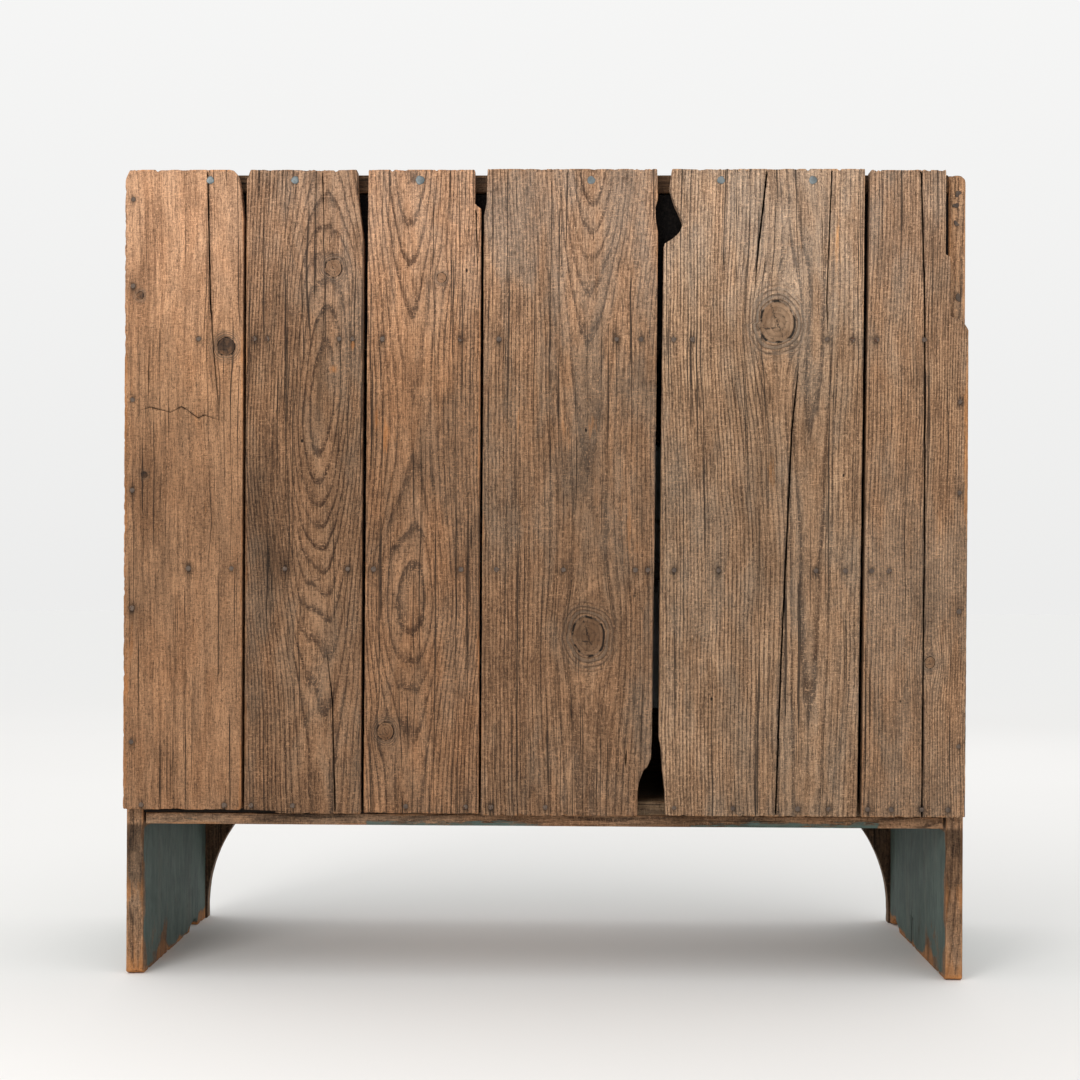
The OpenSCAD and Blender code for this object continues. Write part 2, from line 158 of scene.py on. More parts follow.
class Board:
    """A sawn board as a dense surface grid. s runs across the grain, t along it, n through it, in mm."""

    def __init__(
        self, lo, hi, grain="+z", show="+y", step=(1.6, 3.2), layer=6, round_r=1.6, shoulder=0.0,
        cracks=(), cross=(), split=None, knots=(), pith=None, bows=(), taper=0.02, spacing=3.6,
        left=None, right=None, bottom=None, top=None, whole_width=False, fray=0.8, cup=0.6, hole=None, seed=1,
    ):
        lo, hi = Vector(lo), Vector(hi)
        dirs, corner = own_frame(lo, hi, grain, show)
        self.dirs, self.corner = np.array(dirs), np.array(corner)
        width, length, thick = (abs((hi - lo).dot(d)) / MM for d in dirs)
        self.size = np.array([width, length, thick])
        r = min(round_r, 0.3 * self.size.min())

        s_at = [float(np.mean([p[0] for p in c])) for c in cracks]
        t_at = [float(np.mean([p[0] for p in c])) for c in cross]
        s_nom, s_id, s_side = with_lines(spread(width, step[0], r), s_at)
        t_nom, t_id, t_side = with_lines(spread(length, step[1], r), t_at)
        n_nom = spread(thick, layer, r)
        ns, nt, nn = len(s_nom), len(t_nom), len(n_nom)

        # the columns bend so that they follow the cracks
        s_act, t_act = np.tile(s_nom, (nt, 1)), np.tile(t_nom[:, None], (1, ns))
        # painted shade: how black each crack is painted where it opens
        deep, crack_shade = np.zeros((nt, ns)), np.zeros((nt, ns))
        if cracks:
            paths = [path_at(c, t_nom) for c in cracks]
            order = np.argsort(s_at)
            anchors = [0.0] + [s_at[k] for k in order] + [width]
            for j in range(nt):
                places = np.array([0.0] + [paths[k][0][j] for k in order] + [width])
                places = np.maximum.accumulate(places + np.arange(len(places)) * 1e-3)
                s_act[j] = np.interp(s_nom, anchors, places)
            for k in range(len(cracks)):
                cols = np.where(s_id == k)[0]
                half = paths[k][1][:, None]
                s_act[:, cols] += s_side[cols][None] * np.maximum(half, 0.05)
                notch = cols[np.abs(s_side[cols]) < LIPS]
                deep[:, notch] = np.clip(half / FULL_DEPTH, 0, 1) * min(13, thick * 0.6)
                crack_shade[:, cols] = np.clip(half / FULL_SHADE, 0, 1)
        for k, c in enumerate(cross):
            where, half = path_at(c, s_act[0])
            near = np.exp(-(((t_nom[:, None] - t_at[k]) / 9.0) ** 2))
            t_act += (where - t_at[k])[None] * near
            rows = np.where(t_id == k)[0]
            t_act[rows] += t_side[rows][:, None] * np.maximum(half, 0.03)[None]
            notch = rows[np.abs(t_side[rows]) < LIPS]
            open_share = np.clip(half / FULL_SHADE, 0, 1)[None]
            deep[notch] = np.maximum(deep[notch], open_share * 2.5)
            crack_shade[rows] = np.maximum(crack_shade[rows], open_share)

        # surface vertices of a box with rounded edges
        keep = np.zeros((ns, nt, nn), bool)
        keep[[0, -1]] = keep[:, [0, -1]] = keep[:, :, [0, -1]] = True
        I, J, K = np.nonzero(keep)
        number = np.full(keep.shape, -1)
        number[I, J, K] = np.arange(len(I))
        p = np.stack([s_nom[I], t_nom[J], n_nom[K]], 1)
        q = np.clip(p, r, self.size - r)
        away = p - q
        far = np.linalg.norm(away, axis=1, keepdims=True)
        delta = q + away / np.maximum(far, 1e-9) * r - p
        delta[far[:, 0] < 1e-9] = 0
        s, t, n = s_act[J, I] + delta[:, 0], t_act[J, I] + delta[:, 1], n_nom[K] + delta[:, 2]
        front, back = K == nn - 1, K == 0

        # worn outline, with noise whose lengths are in mm, here and below
        span = width if whole_width else min(RAGGED, width / 2)
        fade_l, fade_r = np.clip(1 - s / span, 0, 1), np.clip(1 - (width - s) / span, 0, 1)
        rough = np.maximum(0.4 + 0.35 * fractal(t / 9, n / 9, seed + 3), 0)
        off_l = (left(t) if left else 0) + rough
        off_r = (right(t) if right else 0) + rough
        s = s + off_l * fade_l - off_r * fade_r
        fade_b, fade_t = np.clip(1 - t / RAGGED, 0, 1), np.clip(1 - (length - t) / RAGGED, 0, 1)
        teeth_b = fractal(s / 2.2, n / 5, seed + 5) + noise(s / 11, n / 30, seed + 6)
        teeth_t = fractal(s / 2.4, n / 5, seed + 7) + noise(s / 13, n / 30, seed)
        t = t + ((bottom(s) if bottom else 0) + fray * np.maximum(teeth_b, 0)) * fade_b
        t = t - ((top(s) if top else 0) + fray * np.maximum(teeth_t, 0)) * fade_t
        if shoulder:
            t = t - worn_corner(thick - n, shoulder) * fade_t

        # the grain's own coordinates: growth rings wander, and bulge round each knot
        s_eff = s + 2.6 * noise(t / 130, s / 80, seed + 11) + 0.9 * noise(t / 42, s / 26, seed + 12)
        knot = np.tile(NO_KNOT, (len(s), 1))
        dome = np.zeros(len(s))
        for ks, kt, kr, *more in knots:
            stretch, solid = more if more else (RING_STRETCH, True)
            tall = BIG_KNOT_TALL if kr > BIG_KNOT else KNOT_TALL
            ds, dt = s - ks, t - kt
            near = np.sqrt(ds**2 + (dt / stretch) ** 2) / (1.12 * kr)
            pull = np.clip(1 - 0.97 / np.maximum(near, 1e-3) ** 2, 0.3, 1)
            s_eff = ks + (s_eff - ks) * pull
            if solid:
                wobble = 1 + 0.15 * noise(np.arctan2(dt, ds) * 1.3, ks, seed + 13)
                rho = np.sqrt(ds**2 + (dt / tall) ** 2) / (kr * wobble)
                dome += np.exp(-(rho**2) / 3.0) * 0.5 - 0.8 * np.exp(-(((rho - 1) / 0.14) ** 2))
                nearer = rho < knot[:, 2]
                knot[nearer] = np.stack([ds / kr, dt / kr, rho], 1)[nearer]
        p_s, p_d = pith if pith else (width * 0.5, 55.0)
        bowed = sum(depth * np.exp(-(((t - t0) / reach) ** 2)) for t0, reach, depth in bows)
        p_d = np.maximum(p_d - bowed, 3)
        wander = 5 * noise(t / 260, 3.3, seed + 14)
        radius = np.sqrt((s_eff - p_s - wander) ** 2 + (p_d + n) ** 2)
        ring = (radius - taper * t + 0.8 * noise(t / 120, s_eff / 60, seed + 15)) / spacing

        # relief of the two wide faces, which stays below the sawn surface
        hollow = cup * (1 - (2 * s / width - 1) ** 2) * 0.6
        rise = 0.22 * fractal(s / 9, t / 60, seed + 16) + 0.14 * noise(s / 1.7, t / 22, seed + 17) - hollow
        amount = np.clip(np.minimum(np.minimum(s, width - s), np.minimum(t, length - t)) / 3, 0, 1)
        n = n + np.where(front, np.minimum(rise + dome - 0.3, 0.0) * amount, 0)
        n = n - np.where(back, (rise - 0.3) * amount, 0)
        n = n * (1 - deep[J, I] / thick * np.where(front | (J == 0) | (J == nt - 1), 1, 0))
        # painted shade: an open crack's front is painted black, fully where it is deep
        painted_crack_shade = crack_shade[J, I] * np.where(deep[J, I] > 0.3, 1.0, 0.35) * np.where(front, 1, 0)

        # a split that runs right through and up from the lower end
        if split is not None:
            own = s_id[I] == split
            notch = own & (np.abs(s_side[I]) < LIPS)
            half = paths[split][1][J]
            t = t + np.where(notch, SPLIT_LIFT * fade_b, 0)
            # painted shade: the split's notch and its lower end are painted black
            painted_crack_shade = np.where(notch & (front | back), np.clip(half / FULL_SHADE, 0, 1), painted_crack_shade)
            painted_crack_shade = np.where(own & (J == 0), 1.0, painted_crack_shade)

        gaps = np.stack([np.minimum(s, width - s), np.minimum(t, length - t), np.minimum(n, thick - n)])
        self.local = np.stack([s, t, n], 1)
        self.values = {
            "ring": ring,
            "knot": knot,
            "edge": np.maximum(np.sort(gaps, axis=0)[1], 0),
            "crack_shade": painted_crack_shade,
            "grain": np.stack([(s + s_eff) / 2, t, n], 1) * MM + seed * np.array([0.37, 0.71, 0.13]),
        }
        self.faces = self.skin(number, hole)

    def skin(self, number, hole):
        """The six sides' faces, wound outwards."""
        front, back = number[:, :, -1], number[:, :, 0]
        if hole is None:
            found = [(cells(front), 2, 1), (cells(back), 2, -1)]
        else:
            found = list(self.pierce(front, back, hole))
        ends = ((number[0], 0, -1), (number[-1], 0, 1), (number[:, 0], 1, -1), (number[:, -1], 1, 1))
        found += [(cells(ids), side, sign) for ids, side, sign in ends]
        wound = []
        for quad, side, sign in found:
            quad = quad.reshape(-1, 4)
            if side is not None:
                v = self.local[quad]
                normal = np.cross(v[:, 2] - v[:, 0], v[:, 3] - v[:, 1]).sum(0)
                if normal[side] * sign < 0:
                    quad = quad[:, ::-1]
            wound.append(quad)
        return np.concatenate(wound)

    def pierce(self, front_ids, back_ids, hole):
        """The wide faces with a round hole (s, t, radius), and the hole's wall."""
        hs, ht, hr = hole
        f = self.local[front_ids]
        rad = np.hypot(f[..., 0] - hs, f[..., 1] - ht)
        gone = (rad[:-1, :-1] + rad[1:, :-1] + rad[1:, 1:] + rad[:-1, 1:]) / 4 < hr
        used, kept = np.zeros(rad.shape, bool), np.zeros(rad.shape, bool)
        for di, dj in ((0, 0), (1, 0), (1, 1), (0, 1)):
            part = (slice(di, di + gone.shape[0]), slice(dj, dj + gone.shape[1]))
            used[part] |= gone
            kept[part] |= ~gone
        for ids in (front_ids, back_ids):
            at = ids[used & kept]
            out = self.local[at][:, :2] - (hs, ht)
            self.local[at, :2] = (hs, ht) + out / np.linalg.norm(out, axis=1, keepdims=True) * hr
        yield cells(front_ids)[~gone], 2, 1
        yield cells(back_ids)[~gone], 2, -1
        walls = []
        around = (
            ((-1, 0), (0, 0), (0, 1)), ((1, 0), (1, 1), (1, 0)),
            ((0, -1), (1, 0), (0, 0)), ((0, 1), (0, 1), (1, 1)),
        )  # a neighbouring cell, and the two corners shared with it
        for i, j in np.argwhere(gone):
            for (di, dj), (a, b), (c, d) in around:
                if not gone[i + di, j + dj]:
                    one, two = (i + a, j + b), (i + c, j + d)
                    walls.append([front_ids[one], front_ids[two], back_ids[two], back_ids[one]])
        walls = np.array(walls)
        v = self.local[walls]
        normal = np.cross(v[:, 2] - v[:, 0], v[:, 3] - v[:, 1])
        inward = np.array([hs, ht]) - v.mean(1)[:, :2]
        if (normal[:, :2] * inward).sum() < 0:
            walls = walls[:, ::-1]
        yield walls, None, 0

    def world(self):
        return self.corner + (self.local * MM) @ self.dirs


class Turned:
    """A turned wooden piece along -Y. Its profile is (radius, distance) in mm from its foot's centre."""

    def __init__(self, centre, profile, seed, count=32):
        a = np.arange(count) * 2 * math.pi / count
        ring = np.stack([np.cos(a), np.sin(a)], 1)
        rings = []
        for k, (r, d) in enumerate(profile):
            wave = 1 + 0.012 * np.sin(2 * a + seed) + 0.008 * np.sin(5 * a + k)
            rings.append(np.column_stack([ring[:, 0] * r * wave, np.full(count, d), ring[:, 1] * r * wave]))
        v = np.concatenate(rings)
        self.local = v
        self.centre = np.array(centre)
        quads = []
        for k in range(len(profile) - 1):
            for i in range(count):
                j = (i + 1) % count
                quads.append([k * count + i, (k + 1) * count + i, (k + 1) * count + j, k * count + j])
        last = (len(profile) - 1) * count
        for i in range(count // 2 - 1):
            quads.append([last + i, last + count - 1 - i, last + count - 2 - i, last + i + 1])
            quads.append([i + 1, count - 2 - i, count - 1 - i, i])
        self.faces = np.array(quads)
        self.values = {
            "ring": np.hypot(v[:, 0] - 22, v[:, 2]) / 3.0,
            "knot": np.tile(NO_KNOT, (len(v), 1)),
            "edge": np.where(np.hypot(v[:, 0], v[:, 2]) > 0.9 * max(r for r, _ in profile), 2.0, 9.0),
            "crack_shade": np.zeros(len(v)),
            "grain": v[:, [0, 2, 1]] * MM + seed * 0.31,
        }

    def world(self):
        return self.centre + self.local * MM * np.array([1, -1, 1])


# what a mark can change at each point, and what a piece's props can change in the whole piece
MARKS = {"stain": 0.0, "tint": 1.0, "glow": 0.0, "coat": 1.0, "painted_top_cool": 0.0}
PROPS = {"tone": 1.0, "grey": 0.5, "warm": 0.5, "wear": 0.5, "lines": 0.8, "heart": 0.2, "hue": 0.0}


def add_object(name, mesh, material, body, node, slot):
    """Puts a mesh in the scene as a piece that rides on a body and stands for a CAD node, if one is named."""
    obj = bpy.data.objects.new(name, mesh)
    bpy.context.scene.collection.objects.link(obj)
    mesh.materials.append(material)
    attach(obj, body)
    if node:
        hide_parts(node)
    return obj


def build(name, body, parts, material, node, slot, marks=(), props=None):
    """Joins boards into one piece.

    Each of marks takes the points in metres and gives a dictionary of values for the names in MARKS.
    """
    verts, faces, start = [], [], 0
    for b in parts:
        verts.append(b.world())
        faces.append(b.faces + start)
        start += len(b.local)
    verts, faces = np.concatenate(verts), np.concatenate(faces)
    mesh = bpy.data.meshes.new(name)
    mesh.vertices.add(len(verts))
    mesh.vertices.foreach_set("co", verts.ravel())
    mesh.loops.add(faces.size)
    mesh.loops.foreach_set("vertex_index", faces.ravel())
    mesh.polygons.add(len(faces))
    mesh.polygons.foreach_set("loop_start", np.arange(0, faces.size, 4))
    mesh.polygons.foreach_set("use_smooth", np.ones(len(faces), bool))
    mesh.update(calc_edges=True)
    data = {k: np.concatenate([b.values[k] for b in parts]) for k in parts[0].values}
    data.update({k: np.full(len(verts), v) for k, v in MARKS.items()})
    for mark in marks:
        for k, v in mark(verts).items():
            data[k] = np.clip(data[k] + v, 0, 1) if MARKS[k] == 0 else data[k] * v
    for k, v in data.items():
        wide = v.ndim == 2
        a = mesh.attributes.new(k, "FLOAT_VECTOR" if wide else "FLOAT", "POINT")
        a.data.foreach_set("vector" if wide else "value", v.astype(np.float32).ravel())
    mesh.validate()
    obj = add_object(name, mesh, material, body, node, slot)
    for k, v in {**PROPS, **(props or {})}.items():
        obj[k] = float(v)
    return obj


def corners(node):
    """The corner points of a CAD node."""
    return np.array([v.co for v in nodes[node].data.vertices])


def solids(node):
    """The separate solids of a CAD node, each as its corner points."""
    bm = bmesh.new()
    bm.from_mesh(nodes[node].data)
    bmesh.ops.remove_doubles(bm, verts=bm.verts, dist=1e-6)
    left, found = set(bm.verts), []
    while left:
        stack, group = [left.pop()], []
        while stack:
            v = stack.pop()
            group.append(v.co.copy())
            for e in v.link_edges:
                w = e.other_vert(v)
                if w in left:
                    left.discard(w)
                    stack.append(w)
        found.append(np.array(group))
    bm.free()
    return sorted(found, key=lambda g: tuple(np.round(g.min(0), 4)))


# ---------------------------------------------------------------- materials


def times(colour, factor):
    return tuple(factor * c for c in colour)


class Paintbox:
    """Short names for building a node material."""

    def __init__(self, name):
        self.m = bpy.data.materials.new(name)
        self.m.use_nodes = True
        self.tree = self.m.node_tree
        self.tree.nodes.clear()

    def put(self, kind, values=(), out=0, **props):
        node = self.tree.nodes.new(kind)
        for k, v in props.items():
            setattr(node, k, v)
        for key, v in dict(values).items():
            if isinstance(v, bpy.types.NodeSocket):
                self.tree.links.new(v, node.inputs[key])
            else:
                node.inputs[key].default_value = v
        return node.outputs[out] if node.outputs else None

    def attr(self, name, own=False, vector=False):
        kind, out = "OBJECT" if own else "GEOMETRY", 1 if vector else 2
        return self.put("ShaderNodeAttribute", attribute_name=name, attribute_type=kind, out=out)

    def math(self, op, a, b=0.0, c=0.0):
        return self.put("ShaderNodeMath", {0: a, 1: b, 2: c}, operation=op)

    def times(self, a, *more):
        for b in more:
            a = self.math("MULTIPLY", a, b)
        return a

    def scale(self, vector, factors):
        return self.put("ShaderNodeVectorMath", {0: vector, 1: factors}, operation="MULTIPLY")

    def noise(self, vector, factors=(1, 1, 1), scale=1.0, detail=3.0, rough=0.55, distort=0.0):
        values = {"Scale": scale, "Detail": detail, "Roughness": rough, "Distortion": distort}
        return self.put("ShaderNodeTexNoise", {"Vector": self.scale(vector, factors), **values})

    def ramp(self, fac, stops):
        node = self.tree.nodes.new("ShaderNodeValToRGB")
        self.tree.links.new(fac, node.inputs[0])
        e = node.color_ramp.elements
        while len(e) < len(stops):
            e.new(0.5)
        for item, (at, value) in zip(e, stops):
            item.position = at
            item.color = (value, value, value, 1)
        return node.outputs[0]

    def step(self, x, low, high, a=0.0, b=1.0):
        """A soft step from a, where x is low, to b, where x is high."""
        values = {0: x, 1: low, 2: high, 3: a, 4: b}
        return self.put("ShaderNodeMapRange", values, interpolation_type="SMOOTHSTEP")

    def add_up(self, start, *terms):
        """Adds each (value, factor) to the start."""
        for value, factor in terms:
            start = self.math("MULTIPLY_ADD", value, factor, start)
        return start

    def mix(self, fac, a, b, how="MIX"):
        node = self.tree.nodes.new("ShaderNodeMix")
        node.data_type, node.blend_type = "RGBA", how
        node.clamp_factor = True
        for key, v in ((0, fac), (6, a), (7, b)):
            if isinstance(v, bpy.types.NodeSocket):
                self.tree.links.new(v, node.inputs[key])
            else:
                node.inputs[key].default_value = v if key == 0 else (*v, 1)
        return node.outputs[2]

    def lay(self, colour, *layers):
        """Lays each (mask, colour) over what is below it."""
        for mask, over in layers:
            colour = self.mix(mask, colour, over)
        return colour

    def bump(self, height, distance, strength):
        return self.put("ShaderNodeBump", {"Height": height, "Distance": distance, "Strength": strength})

    def finish(self, colour, rough, normal=None, metallic=0.0, specular=0.35):
        values = {"Base Color": colour, "Roughness": rough}
        values.update({"Metallic": metallic, "Specular IOR Level": specular})
        if normal is not None:
            values["Normal"] = normal
        shader = self.put("ShaderNodeBsdfPrincipled", values)
        self.put("ShaderNodeOutputMaterial", {"Surface": shader})
        return self.m


BLACK = (0.006, 0.005, 0.004)
DIRT = (0.030, 0.019, 0.013)


def wood(name, pale, mid, late, grey, orange, paint=None):
    """Old pine. paint is (colour, lighter colour, worn share) for a painted board.

    The noise factors are cycles in a metre across, along and through the grain.
    """
    b = Paintbox(name)
    p, knot = b.attr("grain", vector=True), b.attr("knot", vector=True)
    ring, edge, crack_shade = (b.attr(x) for x in ("ring", "edge", "crack_shade"))
    stain, tint, glow, painted_top_cool = (b.attr(x) for x in ("stain", "tint", "glow", "painted_top_cool"))
    tone, greyness, warmth, lines, heart, hue = (
        b.attr(x, own=True) for x in ("tone", "grey", "warm", "lines", "heart", "hue")
    )

    broad = b.noise(p, (9, 3, 9), detail=3)
    patch = b.noise(p, (34, 9, 34), detail=4, distort=0.3)
    cloud = b.noise(p, (70, 40, 70), detail=5, rough=0.65)
    fibre = b.noise(p, (600, 15, 600), detail=5, rough=0.75)
    hair = b.noise(p, (1300, 60, 1300), detail=3, rough=0.6)
    streak = b.noise(p, (210, 7, 210), detail=3, rough=0.6)
    pits = b.noise(p, (560, 260, 560), detail=4, rough=0.7)
    hatch = b.noise(p, (130, 1250, 130), detail=2, rough=0.6)
    wobble = b.noise(p, (150, 10, 150), detail=3)
    speck = b.noise(p, (900, 500, 900), detail=2)

    # growth rings: pale early wood that darkens into a sharp late line
    r = b.math("ADD", ring, b.times(b.math("SUBTRACT", wobble, 0.5), 0.45))
    f = b.math("FRACT", r)
    late_mask = b.ramp(f, [(0.0, 0.55), (0.08, 0.05), (0.52, 0.0), (0.72, 0.30), (0.87, 1.0), (0.96, 1.0)])
    which = b.noise(b.put("ShaderNodeCombineXYZ", {0: b.math("FLOOR", r)}), (1.37, 1, 1), detail=0)
    late_mask = b.times(late_mask, b.step(which, 0.3, 0.66, 0.7, 1.25), b.step(patch, 0.34, 0.56, 0.7, 1.1))

    some = b.math("MULTIPLY_ADD", lines, 0.6, 0.4)
    paler = b.math("MULTIPLY_ADD", cloud, 0.5, b.times(broad, 0.5))
    silvered = b.math("ADD", b.times(broad, 0.5), b.times(patch, 0.5))
    band = b.noise(p, (16, 20, 16), detail=6, rough=0.7)
    grime = b.step(b.noise(p, (60, 15, 60), detail=6, rough=0.75, distort=0.7), 0.55, 0.70)
    colour = b.lay(
        mid,
        (b.step(patch, 0.36, 0.64), pale),
        (b.step(paler, 0.44, 0.58, 0.0, 0.6), pale),
        (b.times(late_mask, lines), late),
        (b.step(streak, 0.50, 0.34, 0.0, 0.24), late),
        (b.step(streak, 0.54, 0.70, 0.0, 0.22), times(pale, 1.2)),
        (b.times(b.step(fibre, 0.54, 0.34, 0.0, 0.8), some), late),
        (b.times(b.step(fibre, 0.54, 0.70, 0.0, 0.6), some), times(pale, 1.35)),
        (b.times(b.step(silvered, 0.44, 0.60), greyness), grey),
        (b.step(hair, 0.32, 0.50, 0.65, 0.0), DIRT),
        (b.step(hair, 0.56, 0.76, 0.0, 0.30), times(pale, 1.35)),
        (b.step(pits, 0.47, 0.32, 0.0, 0.75), times(late, 0.7)),
        (b.step(pits, 0.54, 0.70, 0.0, 0.65), times(pale, 1.45)),
        # fine scratches across the grain, and darker bands and clouds of weathering
        (b.times(b.step(hatch, 0.52, 0.70), b.step(cloud, 0.42, 0.60), 0.75), times(late, 1.2)),
        (b.times(b.step(hatch, 0.46, 0.30), b.step(cloud, 0.60, 0.42), 0.6), times(pale, 1.3)),
        (b.times(b.step(band, 0.52, 0.68), b.times(greyness, 0.36)), times(late, 0.9)),
        (b.times(grime, greyness, 0.6), times(DIRT, 1.8)),
    )

    # orange raw wood in smears, and where the edges are worn
    smear = b.noise(p, (170, 14, 170), detail=5, rough=0.72)
    near = b.step(edge, 5.0, 0.3, 0.0, 0.24)
    raw = b.math("ADD", b.math("ADD", smear, near), b.math("MULTIPLY_ADD", broad, 0.2, b.times(glow, 0.40)))
    raw = b.times(b.step(raw, 0.76, 0.92), b.math("MAXIMUM", warmth, glow))
    fresh = b.mix(b.step(cloud, 0.4, 0.6), orange, times(orange, 1.35))
    colour = b.lay(colour, (b.times(raw, 0.9), fresh))

    # short scratches that cross the grain at two angles
    for turn, factors in ((0.5, (900, 60, 900)), (-0.9, (60, 1000, 60))):
        slanted = b.put("ShaderNodeVectorRotate", {"Vector": p, "Angle": turn}, rotation_type="Z_AXIS")
        scratch = b.step(b.noise(slanted, factors, detail=1), 0.70, 0.76)
        colour = b.lay(colour, (b.times(scratch, b.step(cloud, 0.45, 0.55), 0.6), DIRT))

    # drying checks, worm holes and specks of dirt
    checks = b.step(b.noise(p, (400, 3.0, 400), detail=2, rough=0.5), 0.645, 0.675)
    cell = {"Vector": b.scale(p, (26, 15, 26)), "Scale": 1.0}
    near_hole = b.put("ShaderNodeTexVoronoi", cell)
    chance = b.put("ShaderNodeSeparateColor", {0: b.put("ShaderNodeTexVoronoi", cell, out=1)})
    holes = b.times(b.step(near_hole, 0.045, 0.022), b.step(chance, 0.60, 0.62))
    dirt = b.step(speck, 0.63, 0.70, 0.0, 0.7)
    colour = b.lay(colour, (b.times(checks, 0.85), DIRT), (b.times(holes, 0.95), BLACK), (dirt, DIRT))

    # knots, each with a dark rim that is broken off in places
    kx, ky, rho = (b.put("ShaderNodeSeparateXYZ", {0: knot}, out=i) for i in range(3))
    swirl = b.math("FRACT", b.math("MULTIPLY_ADD", b.noise(p, (110, 110, 110)), 0.9, b.times(rho, 3.4)))
    halo = b.times(b.step(rho, 2.2, 1.05), b.step(swirl, 0.1, 0.7, 0.1, 0.7))
    loops = b.math("FRACT", b.math("MULTIPLY_ADD", b.noise(p, (45, 45, 45)), 1.6, b.times(rho, 4.6)))
    here = b.step(b.noise(p, (90, 60, 90), detail=3), 0.36, 0.5)
    loops = b.times(b.step(loops, 0.5, 0.92), b.step(rho, 2.1, 1.5), here)
    inside = b.lay(
        times(mid, 0.62),
        (b.step(cloud, 0.38, 0.62), times(pale, 0.72)),
        (b.step(swirl, 0.35, 1.0, 0.0, 0.45), times(late, 1.2)),
        (b.step(pits, 0.48, 0.32, 0.0, 0.6), DIRT),
        (b.times(heart, b.step(cloud, 0.3, 0.55)), times(DIRT, 1.7)),
    )
    ragged = b.noise(p, (240, 240, 240), detail=3)
    star = b.math("ABSOLUTE", b.math("ADD", kx, b.add_up(-0.25, (ky, 0.35), (ragged, 0.5))))
    limb = b.math("ABSOLUTE", b.math("ADD", ky, b.add_up(0.15, (ragged, 0.4))))
    limb = b.times(b.step(limb, 0.06, 0.02), b.step(kx, 0.5, -0.2))
    star = b.math("MAXIMUM", b.step(star, 0.07, 0.02), limb)
    star = b.times(star, b.step(rho, 0.95, 0.75), b.step(ragged, 0.42, 0.5))
    broken = b.step(b.noise(knot, (1.5, 1.5, 0.0), detail=3), 0.42, 0.52)
    rim = b.times(b.step(rho, 0.90, 0.96), b.step(rho, 1.08, 1.02), broken)

    # iron stains, and the shade of the whole board and of the place on it, which also carries painted light
    # and painted shade
    blot = b.times(stain, b.step(b.noise(p, (420, 90, 420), detail=3), 0.28, 0.6, 0.5, 1.2))
    colour = b.lay(
        colour,
        (halo, times(grey, 0.72)),
        (b.times(loops, 0.75), late),
        (b.step(rho, 1.03, 0.93), inside),
        (b.times(star, 0.85), DIRT),
        (b.times(rim, 0.9), BLACK),
        (b.math("MINIMUM", blot, 0.93), DIRT),
    )
    shade = b.times(tone, tint, 0.88)
    # painted light: the top is made paler and cooler
    green, blue = b.add_up(1.0, (hue, -0.07), (painted_top_cool, 0.06)), b.add_up(1.0, (hue, -0.13), (painted_top_cool, 0.17))
    shade = b.put("ShaderNodeCombineXYZ", {0: shade, 1: b.times(shade, green), 2: b.times(shade, blue)})
    colour = b.mix(1.0, colour, shade, "MULTIPLY")
    dips = ((checks, -1.6), (hair, 0.4), (hatch, 0.25), (rim, -1.2), (holes, -1.5))
    height = b.add_up(b.times(fibre, 0.9), (late_mask, 0.5), *dips)
    rough = b.step(fibre, 0.2, 0.8, 0.94, 0.78)
    if paint:
        base, light, worn = paint
        coat, wear = b.attr("coat"), b.attr("wear", own=True)
        flake = b.noise(p, (230, 48, 230), detail=7, rough=0.76, distort=0.4)
        scuff = b.noise(p, (520, 22, 520), detail=4, rough=0.65)
        near = b.step(edge, 8.0, 0.0, 0.0, 0.24)
        cover = b.math("SUBTRACT", b.add_up(b.times(flake, 0.62), (scuff, 0.42), (broad, 0.35)), near)
        bare_here = b.math("SUBTRACT", coat, 1.0)
        cover = b.add_up(cover, (late_mask, -0.05), (wear, -0.26), (bare_here, 0.5), (rim, -0.3))
        mask = b.step(cover, worn - 0.014, worn + 0.014)
        faded = b.math("ADD", b.times(patch, 0.5), b.times(cloud, 0.5))
        film = b.lay(
            base,
            (b.step(faded, 0.38, 0.62), light),
            (b.step(scuff, 0.55, 0.28, 0.0, 0.6), times(base, 0.5)),
            (b.step(hair, 0.6, 0.8, 0.0, 0.5), times(light, 1.5)),
            (b.times(b.step(broad, 0.5, 0.66), 0.2), times(grey, 0.7)),
            (b.times(grime, 0.6), DIRT),
            (b.math("MINIMUM", b.times(stain, 0.9), 0.85), DIRT),
        )
        thin = b.step(cover, worn + 0.015, worn + 0.10, 0.5, 1.0)
        colour = b.lay(colour, (b.times(mask, thin), film))
        height = b.add_up(b.times(height, 0.75), (mask, 0.8))
        rough = b.add_up(rough, (mask, -0.22))
    # painted shade: open cracks are painted black
    colour = b.lay(colour, (crack_shade, BLACK))
    return b.finish(colour, rough, b.bump(height, 0.0012, 0.9), specular=0.22)


PINE = dict(
    pale=(0.470, 0.270, 0.148), mid=(0.325, 0.172, 0.088), late=(0.068, 0.033, 0.017),
    grey=(0.205, 0.152, 0.108), orange=(0.44, 0.185, 0.060),
)
INDOORS = dict(
    pale=(0.46, 0.29, 0.16), mid=(0.36, 0.215, 0.11), late=(0.19, 0.095, 0.045),
    grey=(0.25, 0.19, 0.13), orange=(0.44, 0.20, 0.075),
)
TEAL = ((0.062, 0.093, 0.080), (0.098, 0.140, 0.120))
weathered = wood("weathered_pine", **PINE)
bare = wood("bare_pine", **INDOORS)
painted = wood("painted_pine", paint=(*TEAL, 0.33), **PINE)


RUST_ROUGH = 0.85


